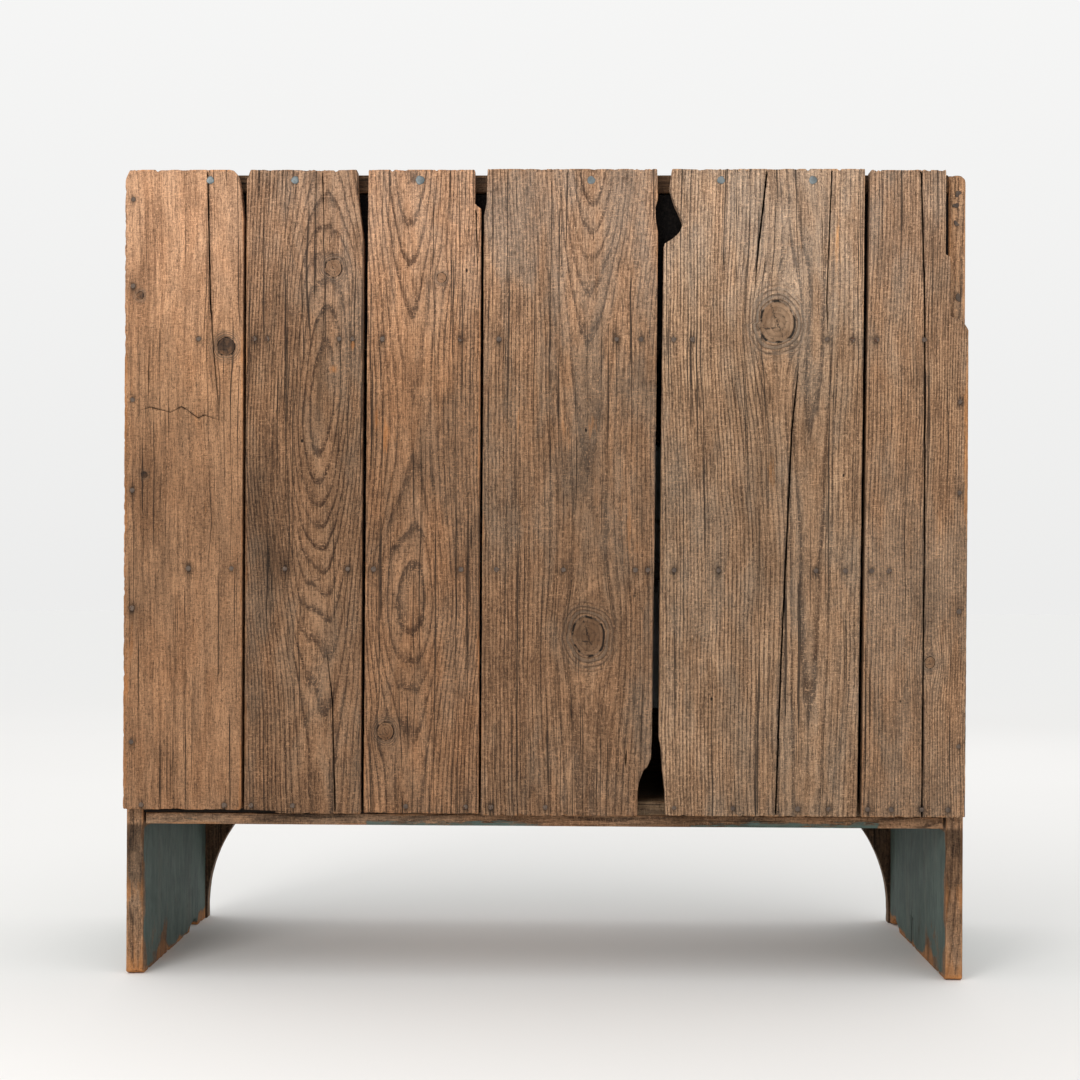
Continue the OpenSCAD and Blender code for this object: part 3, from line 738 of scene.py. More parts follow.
def metal(name, base, light, rust, rust_share, rough, metallic=0.9, scale=90.0, dents=0.0):
    """Old metal with blotches of rust or oxide. It uses each point's own place."""
    b = Paintbox(name)
    p = b.put("ShaderNodeTexCoord", out=3)
    broad = b.noise(p, scale=scale, detail=5, rough=0.65)
    fine = b.noise(p, scale=scale * 9, detail=3)
    blotch = b.math("MULTIPLY_ADD", fine, 0.35, b.times(broad, 0.8))
    mask = b.step(blotch, 0.78 - rust_share, 0.86 - rust_share)
    scratch = b.step(b.noise(p, (3, 70, 70), scale=9, detail=4, rough=0.7), 0.62, 0.72, 0.0, 0.35)
    crust = b.mix(b.step(fine, 0.3, 0.7), rust, times(rust, 0.45))
    colour = b.lay(base, (b.step(broad, 0.35, 0.65), light), (scratch, times(light, 1.3)), (mask, crust))
    height = b.add_up(b.times(fine, 0.5), (mask, 0.6))
    if dents:
        height = b.add_up(height, (b.noise(p, scale=11, detail=2), dents))
    shine = b.times(b.math("SUBTRACT", 1.0, mask), metallic)
    return b.finish(colour, b.add_up(rough, (mask, RUST_ROUGH - rough)), b.bump(height, 0.0004, 0.8), shine)


rusty = metal("rusty_iron", (0.055, 0.045, 0.04), (0.10, 0.08, 0.065), (0.14, 0.055, 0.025), 0.22, 0.6)
nail_iron = metal(
    "nail_iron", (0.075, 0.052, 0.040), (0.15, 0.108, 0.080), (0.12, 0.055, 0.028), 0.16, 0.65, metallic=0.2
)
galvanised = metal(
    "galvanised_steel", (0.12, 0.14, 0.145), (0.22, 0.245, 0.25), (0.08, 0.06, 0.045), 0.02, 0.5, metallic=0.5
)
zinc = metal(
    "zinc", (0.36, 0.38, 0.38), (0.50, 0.52, 0.51), (0.40, 0.41, 0.39), 0.14, 0.45, scale=14.0, dents=9.0
)
brass = metal("brass", (0.42, 0.27, 0.10), (0.55, 0.38, 0.16), (0.12, 0.08, 0.035), 0.12, 0.4)


def speckled(name, base, light, dark, scale, bump):
    """A matt material made of grains, such as cork or felt."""
    b = Paintbox(name)
    p = b.put("ShaderNodeTexCoord", out=3)
    cell = b.put("ShaderNodeTexVoronoi", {"Vector": p, "Scale": scale})
    fine = b.noise(p, scale=scale * 2.2, detail=4)
    colour = b.lay(light, (b.step(cell, 0.1, 0.75), base), (b.step(fine, 0.45, 0.7), dark))
    return b.finish(colour, 0.95, b.bump(b.math("SUBTRACT", fine, cell), bump, 0.9), specular=0.1)


# the cork is dark, as tarred cork is, and partly painted shade: made near pure black to stand in for the dark
# inside seen through the gaps
cork = speckled("cork_black_as_shade", (0.005, 0.004, 0.004), (0.010, 0.008, 0.007), (0.002,) * 3, 220, 0.0012)
felt = speckled("felt", (0.075, 0.062, 0.052), (0.12, 0.10, 0.085), (0.03, 0.025, 0.02), 900, 0.0006)

# ---------------------------------------------------------------- weathering and painted light by place

left_end, top_z = cad_box[1].x, cad_box[1].z  # seen from behind, the left end is at +X
rear_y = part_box("back_plank_1")[1].y
rear_edge_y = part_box("side_board_left")[1].y
case_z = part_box("under_board")[0].z
inner_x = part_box("well_floor")[1].x


def nail_heads(node):
    """Where each nail of a CAD node shows, and the way its head faces."""
    found = []
    for g in solids(node):
        lo, hi = g.min(0), g.max(0)
        place = (lo + hi) / 2
        place[1] = hi[1] if hi[1] > 0 else lo[1]
        found.append((place, 1 if hi[1] > 0 else -1))
    return found


cut_heads = nail_heads("cut_nails")
round_heads = nail_heads("galvanised_nails")


def iron_stain(points):
    """A dark halo round each cut nail, with a faint streak below it."""
    total = np.zeros(len(points))
    for k, (c, facing) in enumerate(cut_heads):
        d = points - c
        on = np.abs(d[:, 1]) < 0.004
        dx, dz = d[:, 0] / MM, d[:, 2] / MM
        chance, run = (k * 0.618) % 1, 9 + 12 * ((k * 0.37) % 1)  # each nail's own strength and streak
        size = 3.5 + 1.2 * chance
        halo = (0.75 + 0.25 * chance) * np.exp(-((dx / size) ** 2) - (dz / (size * 1.35)) ** 2)
        wide = 0.11 * np.exp(-((dx / (2.2 * size)) ** 2) - (dz / (4.2 * size)) ** 2)
        streak = 0.35 * chance * np.exp(-((dx / 2.4) ** 2)) * np.clip(-dz / 4, 0, 1) * np.exp(dz / run)
        total += np.where(on, halo + wide + streak, 0)
    return {"stain": total}


def seen(points):
    """Places as seen from behind, in mm: u from the left end, and the height."""
    return (left_end - points[:, 0]) / MM, points[:, 2] / MM


def blobs(spots):
    """Soft spots (u, z, half width, half height, strength), in mm."""

    def mark(points):
        total = np.zeros(len(points))
        u, z = seen(points)
        for cu, cz, ru, rz, strength in spots:
            d = ((u - cu) / ru) ** 2 + ((z - cz) / rz) ** 2
            total += strength * np.exp(-d) * (1 + 0.5 * noise(u / 14, z / 40, cu))
        return total

    return mark


def weathering_and_top_light(spec):
    """The planks are painted paler and cooler towards the top, as light from above shows them, and a little
    darker near the foot. They also have dark and orange spots of their own.
    """
    dark, glow = blobs(spec.get("dark", ())), blobs(spec.get("glow", ()))

    def mark(points):
        u, z = seen(points)
        # painted light: paler towards the top
        paler = 1 + spec["painted_top_light"] * smooth(points[:, 2] / top_z, 0.60, 0.97)
        foot = 1 - 0.08 * smooth(z, 300, 215)
        mottled = 1 + 0.20 * fractal(u / 26, z / 75, spec["spacing"]) + 0.12 * fractal(u / 7, z / 24, 9)
        return {
            "tint": paler * foot * mottled * np.clip(1 - dark(points), 0.15, 1.4),
            "glow": np.clip(glow(points), 0, 1),
            # painted light: cooler towards the top
            "painted_top_cool": smooth(points[:, 2] / top_z, 0.70, 0.95),
        }

    return mark


def outline(a, b):
    """The places (a, b) in mm, in order of a and with no repeats."""
    return np.unique(np.round(np.stack([a, b], 1), 2), axis=0).T


def edges_of(node):
    """A plank's left and right worn edges, seen from behind, as functions of the height."""
    lo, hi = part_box(node)
    co = corners(node)
    s, t, width = (hi.x - co[:, 0]) / MM, (co[:, 2] - lo.z) / MM, (hi.x - lo.x) / MM
    (lt, ls), (rt, rs) = (outline(t[part], s[part]) for part in (s < width / 2, s >= width / 2))
    return (lambda x: np.interp(x, lt, ls)), (lambda x: width - np.interp(x, rt, rs))


# ---------------------------------------------------------------- the plank back

# Each plank, with u and z as in seen(), in mm: knots (u, z, radius, stretch of the rings round it, whether it
# is a real knot), rising cracks of (u, z, width), a crack across the grain, dark and orange spots as in
# blobs(), the place (u, depth) of the pith, and bows (z, reach, depth), where the pith nears the surface.
# The top of each plank is painted paler, as light from above shows it, by the share given after its props.
PLANKS = [
    dict(
        knots=[(130, 803, 11), (99, 580, 9, 2.6, False), (20, 868, 5), (26, 640, 4)],
        cracks=[
            [(31, 728, 0), (31, 770, 1.6), (32, 815, 0)],
            [(123, 700, 0), (114, 800, 2.0), (110, 865, 2.6), (106, 1024, 3.2)],
        ],
        cross=[[(22, 722, 0.3), (34, 726, 0.9), (60, 719, 0.6), (74, 727, 0.9), (82, 722, 0.7),
                (96, 712, 1.0), (103, 716, 0.8), (125, 709, 0.2)]],
        dark=[(30, 640, 14, 60, 0.3), (20, 470, 10, 70, 0.25), (60, 560, 40, 60, 0.12),
              (125, 808, 14, 12, 0.35)],
        glow=[(3, 560, 5, 200, 0.4), (4, 300, 5, 90, 0.45), (4, 780, 5, 60, 0.35), (14, 420, 12, 60, 0.3),
              (40, 330, 12, 50, 0.25), (95, 700, 8, 60, 0.2), (75, 250, 18, 30, 0.3),
              (130, 770, 10, 90, 0.2)],
        pith=(150, 90),
        chips=1.8,
        props=dict(tone=0.97, grey=0.15, warm=0.4, lines=0.28, heart=1.0, hue=1.0),
        painted_top_light=0.8,
        taper=0.012,
        spacing=6.5,
    ),
    dict(
        knots=[(266, 903, 11), (246, 893, 8, 3.4, False), (237, 455, 11, 3.4, False),
               (240, 395, 5, 8, False)],
        cracks=[
            [(271, 214, 2.6), (267, 355, 2.0), (258, 430, 0)],
            [(254, 935, 0), (253, 1000, 1.7), (252, 1026, 2.4)],
        ],
        dark=[(180, 590, 26, 60, 0.42), (250, 770, 7, 70, 0.35), (200, 850, 26, 60, 0.15),
              (185, 520, 20, 40, 0.25)],
        glow=[(268, 775, 8, 10, 0.8), (292, 806, 5, 8, 0.9), (272, 948, 8, 14, 0.5), (298, 400, 6, 160, 0.3)],
        pith=(252, 40),
        bows=[(730, 230, 33)],
        props=dict(tone=0.82, grey=0.55, warm=0.3, lines=1.0, hue=0.4),
        painted_top_light=0.58,
        taper=0.012,
        spacing=3.7,
    ),
    dict(
        knots=[(335, 315, 11), (404, 891, 6), (352, 560, 10, 3.0, False), (361, 370, 9, 5.0, False)],
        cracks=[[(450, 885, 0), (449, 930, 1.1), (447, 978, 1.8)]],
        dark=[(378, 870, 12, 70, 0.15), (400, 735, 40, 8, 0.22), (350, 590, 14, 40, 0.25),
              (395, 640, 26, 40, 0.1)],
        glow=[(330, 700, 26, 50, 0.45), (345, 600, 24, 60, 0.3), (370, 470, 30, 60, 0.25),
              (445, 640, 8, 60, 0.3)],
        pith=(365, 34),
        bows=[(1070, 170, 14), (480, 110, 12)],
        props=dict(tone=0.96, grey=0.4, warm=0.35, lines=1.0, hue=1.0),
        painted_top_light=0.8,
        taper=0.01,
        spacing=3.9,
    ),
    dict(
        knots=[(592, 438, 21)],
        cracks=[[(640, 270, 0), (640, 282, 5.0), (641, 294, 0)]],
        dark=[(590, 700, 24, 190, 0.15), (535, 890, 18, 90, 0.12), (590, 520, 60, 70, 0.08),
              (575, 640, 30, 60, 0.1), (592, 438, 50, 40, 0.16)],
        glow=[(500, 735, 12, 50, 0.5), (597, 704, 8, 22, 0.55), (560, 690, 12, 40, 0.45),
              (640, 560, 14, 90, 0.35), (500, 360, 20, 60, 0.3), (540, 760, 8, 20, 0.4)],
        pith=(592, 34),
        bows=[(1090, 190, 26)],
        props=dict(tone=0.93, grey=0.6, warm=0.35, lines=0.9, hue=0.1),
        painted_top_light=0.66,
        taper=0.008,
        spacing=4.4,
    ),
    dict(
        knots=[(829, 835, 21), (842, 880, 9, 2.4, False)],
        cracks=[
            [(829, 212, 8.5), (836, 425, 7.5), (841, 533, 6.0), (848, 698, 4.4), (857, 791, 0)],
            [(799, 862, 0), (806, 945, 3.0), (815, 1026, 4.5)],
            [(893, 812, 0), (891, 863, 2.2), (897, 1026, 3.0)],
        ],
        dark=[(800, 590, 22, 120, 0.18), (829, 800, 44, 40, 0.12), (790, 740, 20, 30, 0.15),
              (760, 330, 30, 60, 0.15)],
        glow=[(835, 930, 30, 14, 0.4), (770, 948, 26, 10, 0.3), (820, 640, 12, 60, 0.4),
              (905, 960, 4, 120, 0.6), (700, 960, 10, 40, 0.3), (720, 420, 20, 50, 0.3)],
        pith=(868, 26),
        props=dict(tone=1.15, grey=0.5, warm=0.3, lines=0.95, hue=-1.0),
        painted_top_light=0.5,
        taper=0.012,
        spacing=4.2,
    ),
    dict(
        knots=[(1023, 406, 7)],
        cracks=[[(1013, 208, 2.8), (1015, 609, 3.2), (1014, 863, 2.8), (1009, 1026, 4.0)]],
        dark=[(1030, 900, 12, 50, 0.2), (985, 600, 20, 60, 0.12), (1020, 470, 14, 40, 0.2),
              (960, 320, 14, 50, 0.2), (1000, 290, 60, 90, 0.16)],
        glow=[(1066, 700, 5, 120, 0.7), (1030, 760, 8, 90, 0.4), (1040, 560, 14, 70, 0.35),
              (1000, 350, 14, 60, 0.3)],
        pith=(905, 40),
        props=dict(tone=1.22, grey=0.5, warm=0.35, lines=0.9, hue=-0.3),
        painted_top_light=0.18,
        taper=0.012,
        spacing=3.1,
    ),
]

for k, spec in enumerate(PLANKS):
    node = f"back_plank_{k + 1}"
    lo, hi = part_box(node)
    u0, z0 = (left_end - hi.x) / MM, lo.z / MM
    left, right = edges_of(node)
    chips = spec.get("chips", 0)
    plank = Board(
        lo,
        hi,
        knots=[(u - u0, z - z0, r, *more) for u, z, r, *more in spec["knots"]],
        cracks=[[(u - u0, z - z0, w) for u, z, w in c] for c in spec["cracks"]],
        cross=[[(z - z0, u - u0, w) for u, z, w in c] for c in spec.get("cross", [])],
        left=lambda t: left(t) + chips * np.maximum(fractal(t / 6, 1.5, 3), 0),
        right=right,
        top=lambda s: np.maximum(noise(s / 19, k, 9), 0) + 2.4 * smooth(noise(s / 8, k, 4), 0.5, 0.8),
        pith=(spec["pith"][0] - u0, spec["pith"][1]),
        bows=[(z - z0, reach, depth) for z, reach, depth in spec.get("bows", ())],
        taper=spec["taper"],
        spacing=spec["spacing"],
        fray=1.3,
        cup=0.9,
        seed=20 + k,
    )
    marks = (iron_stain, weathering_and_top_light(spec))
    build(f"plank_{k + 1}", "case", [plank], weathered, node, "weathered_pine", marks, spec["props"])

# ---------------------------------------------------------------- boards of the case, lid, doors and rack

KINDS = {
    "painted": (painted, "painted_pine"),
    "bare": (bare, "bare_pine"),
    "weathered": (weathered, "weathered_pine"),
    "cork": (cork, "cork"),
    "felt": (felt, "felt"),
    "zinc_faced": (zinc, "zinc_faced_cork"),
}


def coated(node, words):
    """Paint only on the faces that the words name, such as "-y +z"."""
    lo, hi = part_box(node)

    def mark(points):
        coat = np.zeros(len(points))
        for word in words.split():
            i = "xyz".index(word[1])
            gap = hi[i] - points[:, i] if word[0] == "+" else points[:, i] - lo[i]
            coat = np.maximum(coat, smooth(gap / MM, 4.0, 1.5))
        return {"coat": coat}

    return mark


def board(node, body, kind, grain, show, props=None, name=None, step=(2.2, 6), coat=None, marks=(), **more):
    """Each solid of a CAD node as one board, joined into a piece. coat says which faces keep their paint."""
    material, slot = KINDS[kind]
    parts = []
    for i, g in enumerate(solids(node)):
        seed = 60 + (sum(map(ord, node)) + 7 * i) % 150
        parts.append(Board(g.min(0), g.max(0), grain, show, step=step, seed=seed, **more))
    marks = (iron_stain, *marks, *((coated(node, coat),) if coat else ()))
    return build(name or node + "_wood", body, parts, material, node, slot, marks, props)


def side_wear_and_light(points):
    """Bare rear edges and inner faces, worn orange ends at the floor, and rear edges painted paler towards
    the top, as light from above shows them.
    """
    y, z, x = points[:, 1], points[:, 2] / MM, np.abs(points[:, 0])
    from_rear = (rear_edge_y - y) / MM
    edge = smooth(from_rear, 1.0, 3.0 + 4 * (noise(z / 30, x * 40, 2) > 0.2))
    inside = np.where((x < inner_x + 0.004) & (z > case_z / MM - 4), 0.0, 1.0)
    worn = 16 * smooth(noise(y / 0.045, 2.5, 5), -0.1, 0.5)
    toe = smooth(z + 6 * noise(y / 0.016, x * 60, 5) - worn, 1, 9)
    heel = smooth(from_rear + 12 * noise(z / 26, 1.5, 7), 2, 14 + 14 * smooth(z, 60, 10))
    bald = np.exp(-(((from_rear - 100) / 55) ** 2) - ((z - 22) / 34) ** 2)
    bald *= smooth(fractal(y / 0.02, z / 18, 4), -0.3, 0.3)
    rear = smooth(from_rear, 4, 1)
    # painted light: the rear edge paler towards the top
    paler = 1 + 0.5 * rear * smooth(z, 500, 700)
    rear = rear * (z < case_z / MM)
    patches = smooth(fractal(z / 22, x * 90, 8), 0.0, 0.5)
    dirt = rear * np.clip(0.45 * smooth(z, 90, 150) + 0.35 * patches, 0, 0.7)
    fresh = rear * smooth(noise(z / 38, 4.5, 3), 0.0, 0.6) * smooth(z, 160, 120)
    return {
        "coat": edge * inside * (0.35 + 0.65 * toe) * (0.5 + 0.5 * heel) * (1 - 0.7 * bald),
        "glow": 0.75 * (1 - toe) + 0.2 * (1 - heel) + 0.4 * fresh,
        "tint": (1 - dirt) * (1 - 0.35 * bald) * paler,
    }


# the left one's crack runs right through its foot
SIDE_BOARDS = {
    "left": dict(
        show="-x", pith=(90, 30), knots=[(120, 620, 11), (300, 300, 8)], shoulder=9.0,
        cracks=[[(234, 0, 27), (236, 24, 13), (233, 56, 0)]], split=0,
    ),
    "right": dict(
        show="+x", pith=(210, 30), knots=[(260, 760, 12), (90, 420, 7)], shoulder=2.0,
        cracks=[[(150, 700, 0), (152, 860, 1.6), (149, 1026, 2.4)]],
    ),
}
for side, spec in SIDE_BOARDS.items():
    node = f"side_board_{side}"
    lo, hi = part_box(node)
    foot = corners(node)
    foot = foot[foot[:, 2] < 0.03]
    rearwards = axis("+z").cross(axis(spec["show"])).y > 0  # whether s runs from the front to the rear
    across = foot[:, 1] - lo.y if rearwards else hi.y - foot[:, 1]
    sole_s, sole_t = outline(across / MM, foot[:, 2] / MM)
    width = (hi.y - lo.y) / MM
    board(
        node, "case", "painted", "+z", props=dict(wear=0.5, tone=1.05, warm=0.3, lines=0.8), fray=2.2,
        bottom=lambda s: np.interp(s, sole_s, sole_t),
        top=lambda s: worn_corner(width - s if rearwards else s, 5.0),
        step=(2.2, 4.5), layer=3, marks=(side_wear_and_light,), **spec,
    )


def shaded_back(points):
    """The stiles' rear faces, painted dark below the case as shade."""
    back = smooth((points[:, 1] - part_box("stile_left")[1].y) / MM, -4, -1)
    return {"tint": 1 - 0.6 * back * smooth(points[:, 2] / MM, case_z / MM + 8, case_z / MM)}


for side, sign in (("left", -1), ("right", 1)):
    node = f"stile_{side}"
    lo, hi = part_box(node)
    co = corners(node)
    outer = max(abs(lo.x), abs(hi.x)) / MM
    zs, ws = outline(co[:, 2] / MM, outer - np.abs(co[:, 0]) / MM)
    bracket = (ws > 5) & (zs < 400)
    zs, ws = zs[bracket], ws[bracket]
    # the stile's full width ends below the lid, and a narrow horn beside the lid goes on to the top
    lid_lo, lid_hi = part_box("lid_rear_board")
    horn_w = (outer * MM - lid_hi.x) - 0.002
    lower_hi, horn_lo, horn_hi = hi.copy(), lo.copy(), hi.copy()
    lower_hi.z, horn_lo.z = lid_lo.z, lid_lo.z - 0.0005
    if sign > 0:
        horn_lo.x = hi.x - horn_w
    else:
        horn_hi.x = lo.x + horn_w
    inward_is_high = axis("+z").cross(axis("-y")).x * sign < 0
    cuts = {"right" if inward_is_high else "left": lambda t: ws.max() - np.interp(t, zs, ws)}
    main = Board(
        lo, lower_hi, "+z", "-y", (1.8, 4), whole_width=True, seed=140 + sign, pith=(30, 40), fray=1.6, **cuts
    )
    horn = Board(horn_lo, horn_hi, "+z", "-y", (1.8, 4), seed=144 + sign, round_r=1.2)
    marks = (iron_stain, coated(node, "-y -x +x"), shaded_back)
    props = dict(wear=0.6, tone=0.95, warm=0.6)
    build(node + "_wood", "case", [main, horn], painted, node, "painted_pine", marks, props)


def remnants(points):
    """Scraps of paint along the lower rear edge of the under board, with dark patches above them."""
    u, z = seen(points)
    y, z = points[:, 1], z - case_z / MM
    low = smooth(z + 3 * noise(u / 45, 0.5, 3), 8, 3) * (noise(u / 110, 2.5, 4) > -0.3)
    rear = smooth((rear_edge_y - y) / MM, 5, 2)
    dark = 0.45 * smooth(noise(u / 70, z / 30, 6), 0.1, 0.6)
    return {"coat": 0.1 + 0.9 * low * rear, "tint": 1 - dark}


def shade_in_gaps(points):
    """Painted shade: the rear edges of the boards inside, painted near black where they are seen through the
    gaps, as the inside lies in shade.
    """
    rear = smooth((points[:, 1] - rear_edge_y) / MM, -8, -2)
    u, z = seen(points)
    lowest = smooth(z, 260, 250) * smooth(u, 300, 360)
    return {"tint": 1 - (0.95 - 0.55 * lowest) * rear}


def hole_in(node, grain, show):
    """The drain's hole in a board's own (s, t, radius)."""
    (s_dir, t_dir, _), corner = own_frame(*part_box(node), grain, show)
    lo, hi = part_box("drain_pipe")
    middle = (lo + hi) / 2 - corner
    return (middle.dot(s_dir) / MM, middle.dot(t_dir) / MM, (hi.x - lo.x) / 2 / MM + 0.8)


for node, kind, show, props, pith in (
    ("under_board", "painted", "-z", dict(tone=1.0, grey=0.5, wear=0.05, warm=0.3), (200, 40)),
    ("bottom_board", "bare", "+z", dict(tone=0.75, grey=0.6), (200, 40)),
    ("well_floor", "bare", "-z", dict(tone=0.75, grey=0.5), (200, 40)),
    ("food_shelf", "bare", "+z", dict(tone=0.85, grey=0.5), (180, 30)),
):
    marks = (remnants if node == "under_board" else shade_in_gaps,)
    board(node, "case", kind, "+x", show, props, pith=pith, hole=hole_in(node, "+x", show), marks=marks)
for words, grain, show, more in (
    ("floor_pad", "+x", "+z", dict(hole=hole_in("insulation_floor_pad", "+x", "+z"))),
    ("long_pads", "+x", "+y", dict(step=(6, 12))),
    ("end_pads", "+y", "+x", dict(step=(6, 12))),
):
    board("insulation_" + words, "case", "cork", grain, show, name=words + "_cork", **more)


def darker_rear_edge(points):
    """The top board's rear edge, made darker."""
    return {"tint": 1 - 0.62 * smooth((points[:, 1] - rear_edge_y) / MM, -6, -1)}


DOORS = ("left_door", "right_door")


def painted_board(node, body, grain, show, coat, props, pith, **more):
    board(node, body, "painted", grain, show, props, pith=pith, coat=coat, **more)


def zinc_faced_pad(body, grain, show):
    node = body + "_pad"
    look = dict(step=(5, 5), round_r=3.5, fray=0.1, cup=1.2)
    board(node, body, "zinc_faced", grain, show, name=node + "_zinc", **look)


painted_board("well_front", "case", "+x", "-y", "-y +z", dict(wear=0.45), (100, 25), knots=[(250, 90, 10)])
painted_board("bottom_rail", "case", "+x", "-y", "-y -z", dict(wear=0.75), (20, 40))
painted_board("mullion", "case", "+z", "-y", "-y -x +x", dict(wear=0.6), (30, 30))
painted_board("top_board", "case", "+x", "+z", "+z", dict(wear=0.8, tone=0.9), (50, 30), marks=(darker_rear_edge,))
board("shelf_cleats", "case", "bare", "+y", "+z", dict(tone=0.8))
board("rack_slats", "rack", "bare", "+x", "+z", dict(tone=0.9, grey=0.6))
board("rack_runners", "rack", "bare", "+y", "+z", dict(tone=0.85, grey=0.6))
painted_board(
    "lid_front_board", "lid", "+x", "+z", "+z -y -x +x", dict(wear=0.7), (110, 20), knots=[(90, 260, 12)]
)
painted_board("lid_rear_board", "lid", "+x", "+z", "+z -x +x", dict(wear=0.6), (60, 30), knots=[(50, 800, 9)])
board("lid_battens", "lid", "bare", "+y", "-z", dict(tone=0.9))
zinc_faced_pad("lid", "+x", "-z")
for body in DOORS:
    for words, wear, pith, knot in (
        ("_outer_board", 0.55, (90, 20), (120, 380, 10)),
        ("_inner_board", 0.62, (130, 30), (70, 160, 8)),
    ):
        painted_board(body + words, body, "+z", "-y", "-y -x +x -z +z", dict(wear=wear), pith, knots=[knot])
    board(body + "_battens", body, "bare", "+x", "+y", dict(tone=0.85))
    zinc_faced_pad(body, "+z", "+y")


def capsule(radius, length):
    """How far a rounded end of a board draws in from its long edges. It leaves a narrow flat at the tip."""
    return lambda t: np.minimum(worn_corner(np.minimum(t, length - t), radius), 0.93 * radius)


for which in ("upper_button", "lower_button"):
    lo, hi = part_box(which)
    ends = capsule((hi.x - lo.x) / 2 / MM, (hi.z - lo.z) / MM)
    board(
        which, which, "bare", "+z", "-y", dict(tone=0.7, grey=0.6),
        step=(1.2, 1.6), round_r=2.2, left=ends, right=ends, fray=0.0, cup=0.2, whole_width=True,
    )


def strips(node, name, body, kind, boxes, grains, show, props=None, **more):
    """A frame of separate strips, each given as its lowest and highest corners."""
    material, slot = KINDS[kind]
    strip = list(zip(boxes, grains))
    parts = [Board(lo, hi, grain, show, seed=90 + i, **more) for i, ((lo, hi), grain) in enumerate(strip)]
    return build(name, body, parts, material, node, slot, props=props)


def door_stop_boxes():
    """Rebated strips round both doorways: thick behind the frame, with a thin lip over the doorway."""
    lo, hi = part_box("door_stops")
    rail, post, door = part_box("bottom_rail"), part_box("mullion"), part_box("right_door_outer_board")
    lip_y, lip = lo.y + 0.003, 0.012
    x1, x0 = rail[1].x, post[1].x
    found = []

    def on_both_sides(*strip):
        for s in (-1, 1):
            for a, b, y, z0, z1 in strip:
                found.append(((min(s * a, s * b), y, z0), (max(s * a, s * b), hi.y, z1)))

    upright = ((x1, hi.x, lo.y), (x1 - lip, x1, lip_y), (x0, x0 + lip, lip_y))
    on_both_sides(*((*strip, lo.z, hi.z) for strip in upright))
    found.append(((-x0, post[1].y, post[0].z), (x0, hi.y, hi.z)))
    level = ((lo.z, door[0].z + lip), (door[1].z - lip, hi.z))
    on_both_sides(*((x0 + lip, x1 - lip, lip_y, *strip) for strip in level))
    return found, ["+z"] * 7 + ["+x"] * 4


boxes, grains = door_stop_boxes()
look = dict(props=dict(tone=0.85, grey=0.55), step=(2, 8), round_r=1.0, fray=0.1)
strips("door_stops", "door_stops_wood", "case", "bare", boxes, grains, "+y", **look)

for body in DOORS:
    node = body + "_gasket"
    lo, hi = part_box(node)
    wide = 0.011
    boxes = [
        ((lo.x, lo.y, lo.z), (lo.x + wide, hi.y, hi.z)),
        ((hi.x - wide, lo.y, lo.z), (hi.x, hi.y, hi.z)),
        ((lo.x + wide, lo.y, lo.z), (hi.x - wide, hi.y, lo.z + wide)),
        ((lo.x + wide, lo.y, hi.z - wide), (hi.x - wide, hi.y, hi.z)),
    ]
    look = dict(step=(1.2, 3), round_r=1.1, fray=0.1, cup=0.0)
    strips(node, node + "_felt", body, "felt", boxes, ["+z", "+z", "+x", "+x"], "+y", **look)

for body in DOORS:
    node = body + "_knob"
    lo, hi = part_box(node)
    centre = ((lo.x + hi.x) / 2, hi.y, (lo.z + hi.z) / 2)
    out = (hi.y - lo.y) / MM
    profile = [
        (11.0, 0), (11.0, 1.4), (10.2, 2.2), (8.4, 3.4), (7.2, 5), (6.7, 7.5), (7.0, 10), (9.4, 12.4),
        (12.8, 15.2), (14.4, 18), (14.9, 21), (14.6, 24), (13.4, 26.8), (11.2, 29), (8.6, 30.4),
        (6.0, 31.2), (3.2, 31.7), (0.4, out - 0.1),
    ]
    turned = Turned(centre, profile, seed=3)
    knob = build(node + "_turned", body, [turned], painted, node, "painted_pine", props=dict(wear=0.75))
    bm = bmesh.new()
    bm.from_mesh(knob.data)
    bmesh.ops.recalc_face_normals(bm, faces=bm.faces)
    bm.to_mesh(knob.data)
    bm.free()

# ---------------------------------------------------------------- metal


def keep(node, material, bevel=0.0004):
    """A CAD node whose shape is right, with softened edges and a better material."""
    o = nodes[node]
    o.data.materials.clear()
    o.data.materials.append(material)
    if bevel > 0:
        m = o.modifiers.new("soft", "BEVEL")
        m.width, m.segments, m.limit_method = bevel, 2, "ANGLE"
        m.angle_limit = math.radians(40)
    for f in o.data.polygons:
        f.use_smooth = True


LEAVES = {
    "lid_fixed_leaves": ("case", "+z"),
    "lid_hinge_leaves": ("lid", "+z"),
    "left_fixed_leaves": ("case", "-y"),
    "left_door_leaves": ("left_door", "-y"),
    "right_fixed_leaves": ("case", "-y"),
    "right_door_leaves": ("right_door", "-y"),
}
keep("zinc_liner", zinc, 0.0006)
keep("drain_pipe", zinc)
keep("drain_ferrule", brass)
for node in (*LEAVES, "lid_hinge_pins", "left_hinge_pins", "right_hinge_pins", "lid_staple", "button_screws"):
    keep(node, rusty)
keep("lid_ring", rusty, 0)


SLOT_DEPTH = 0.7  # of a screw, in mm


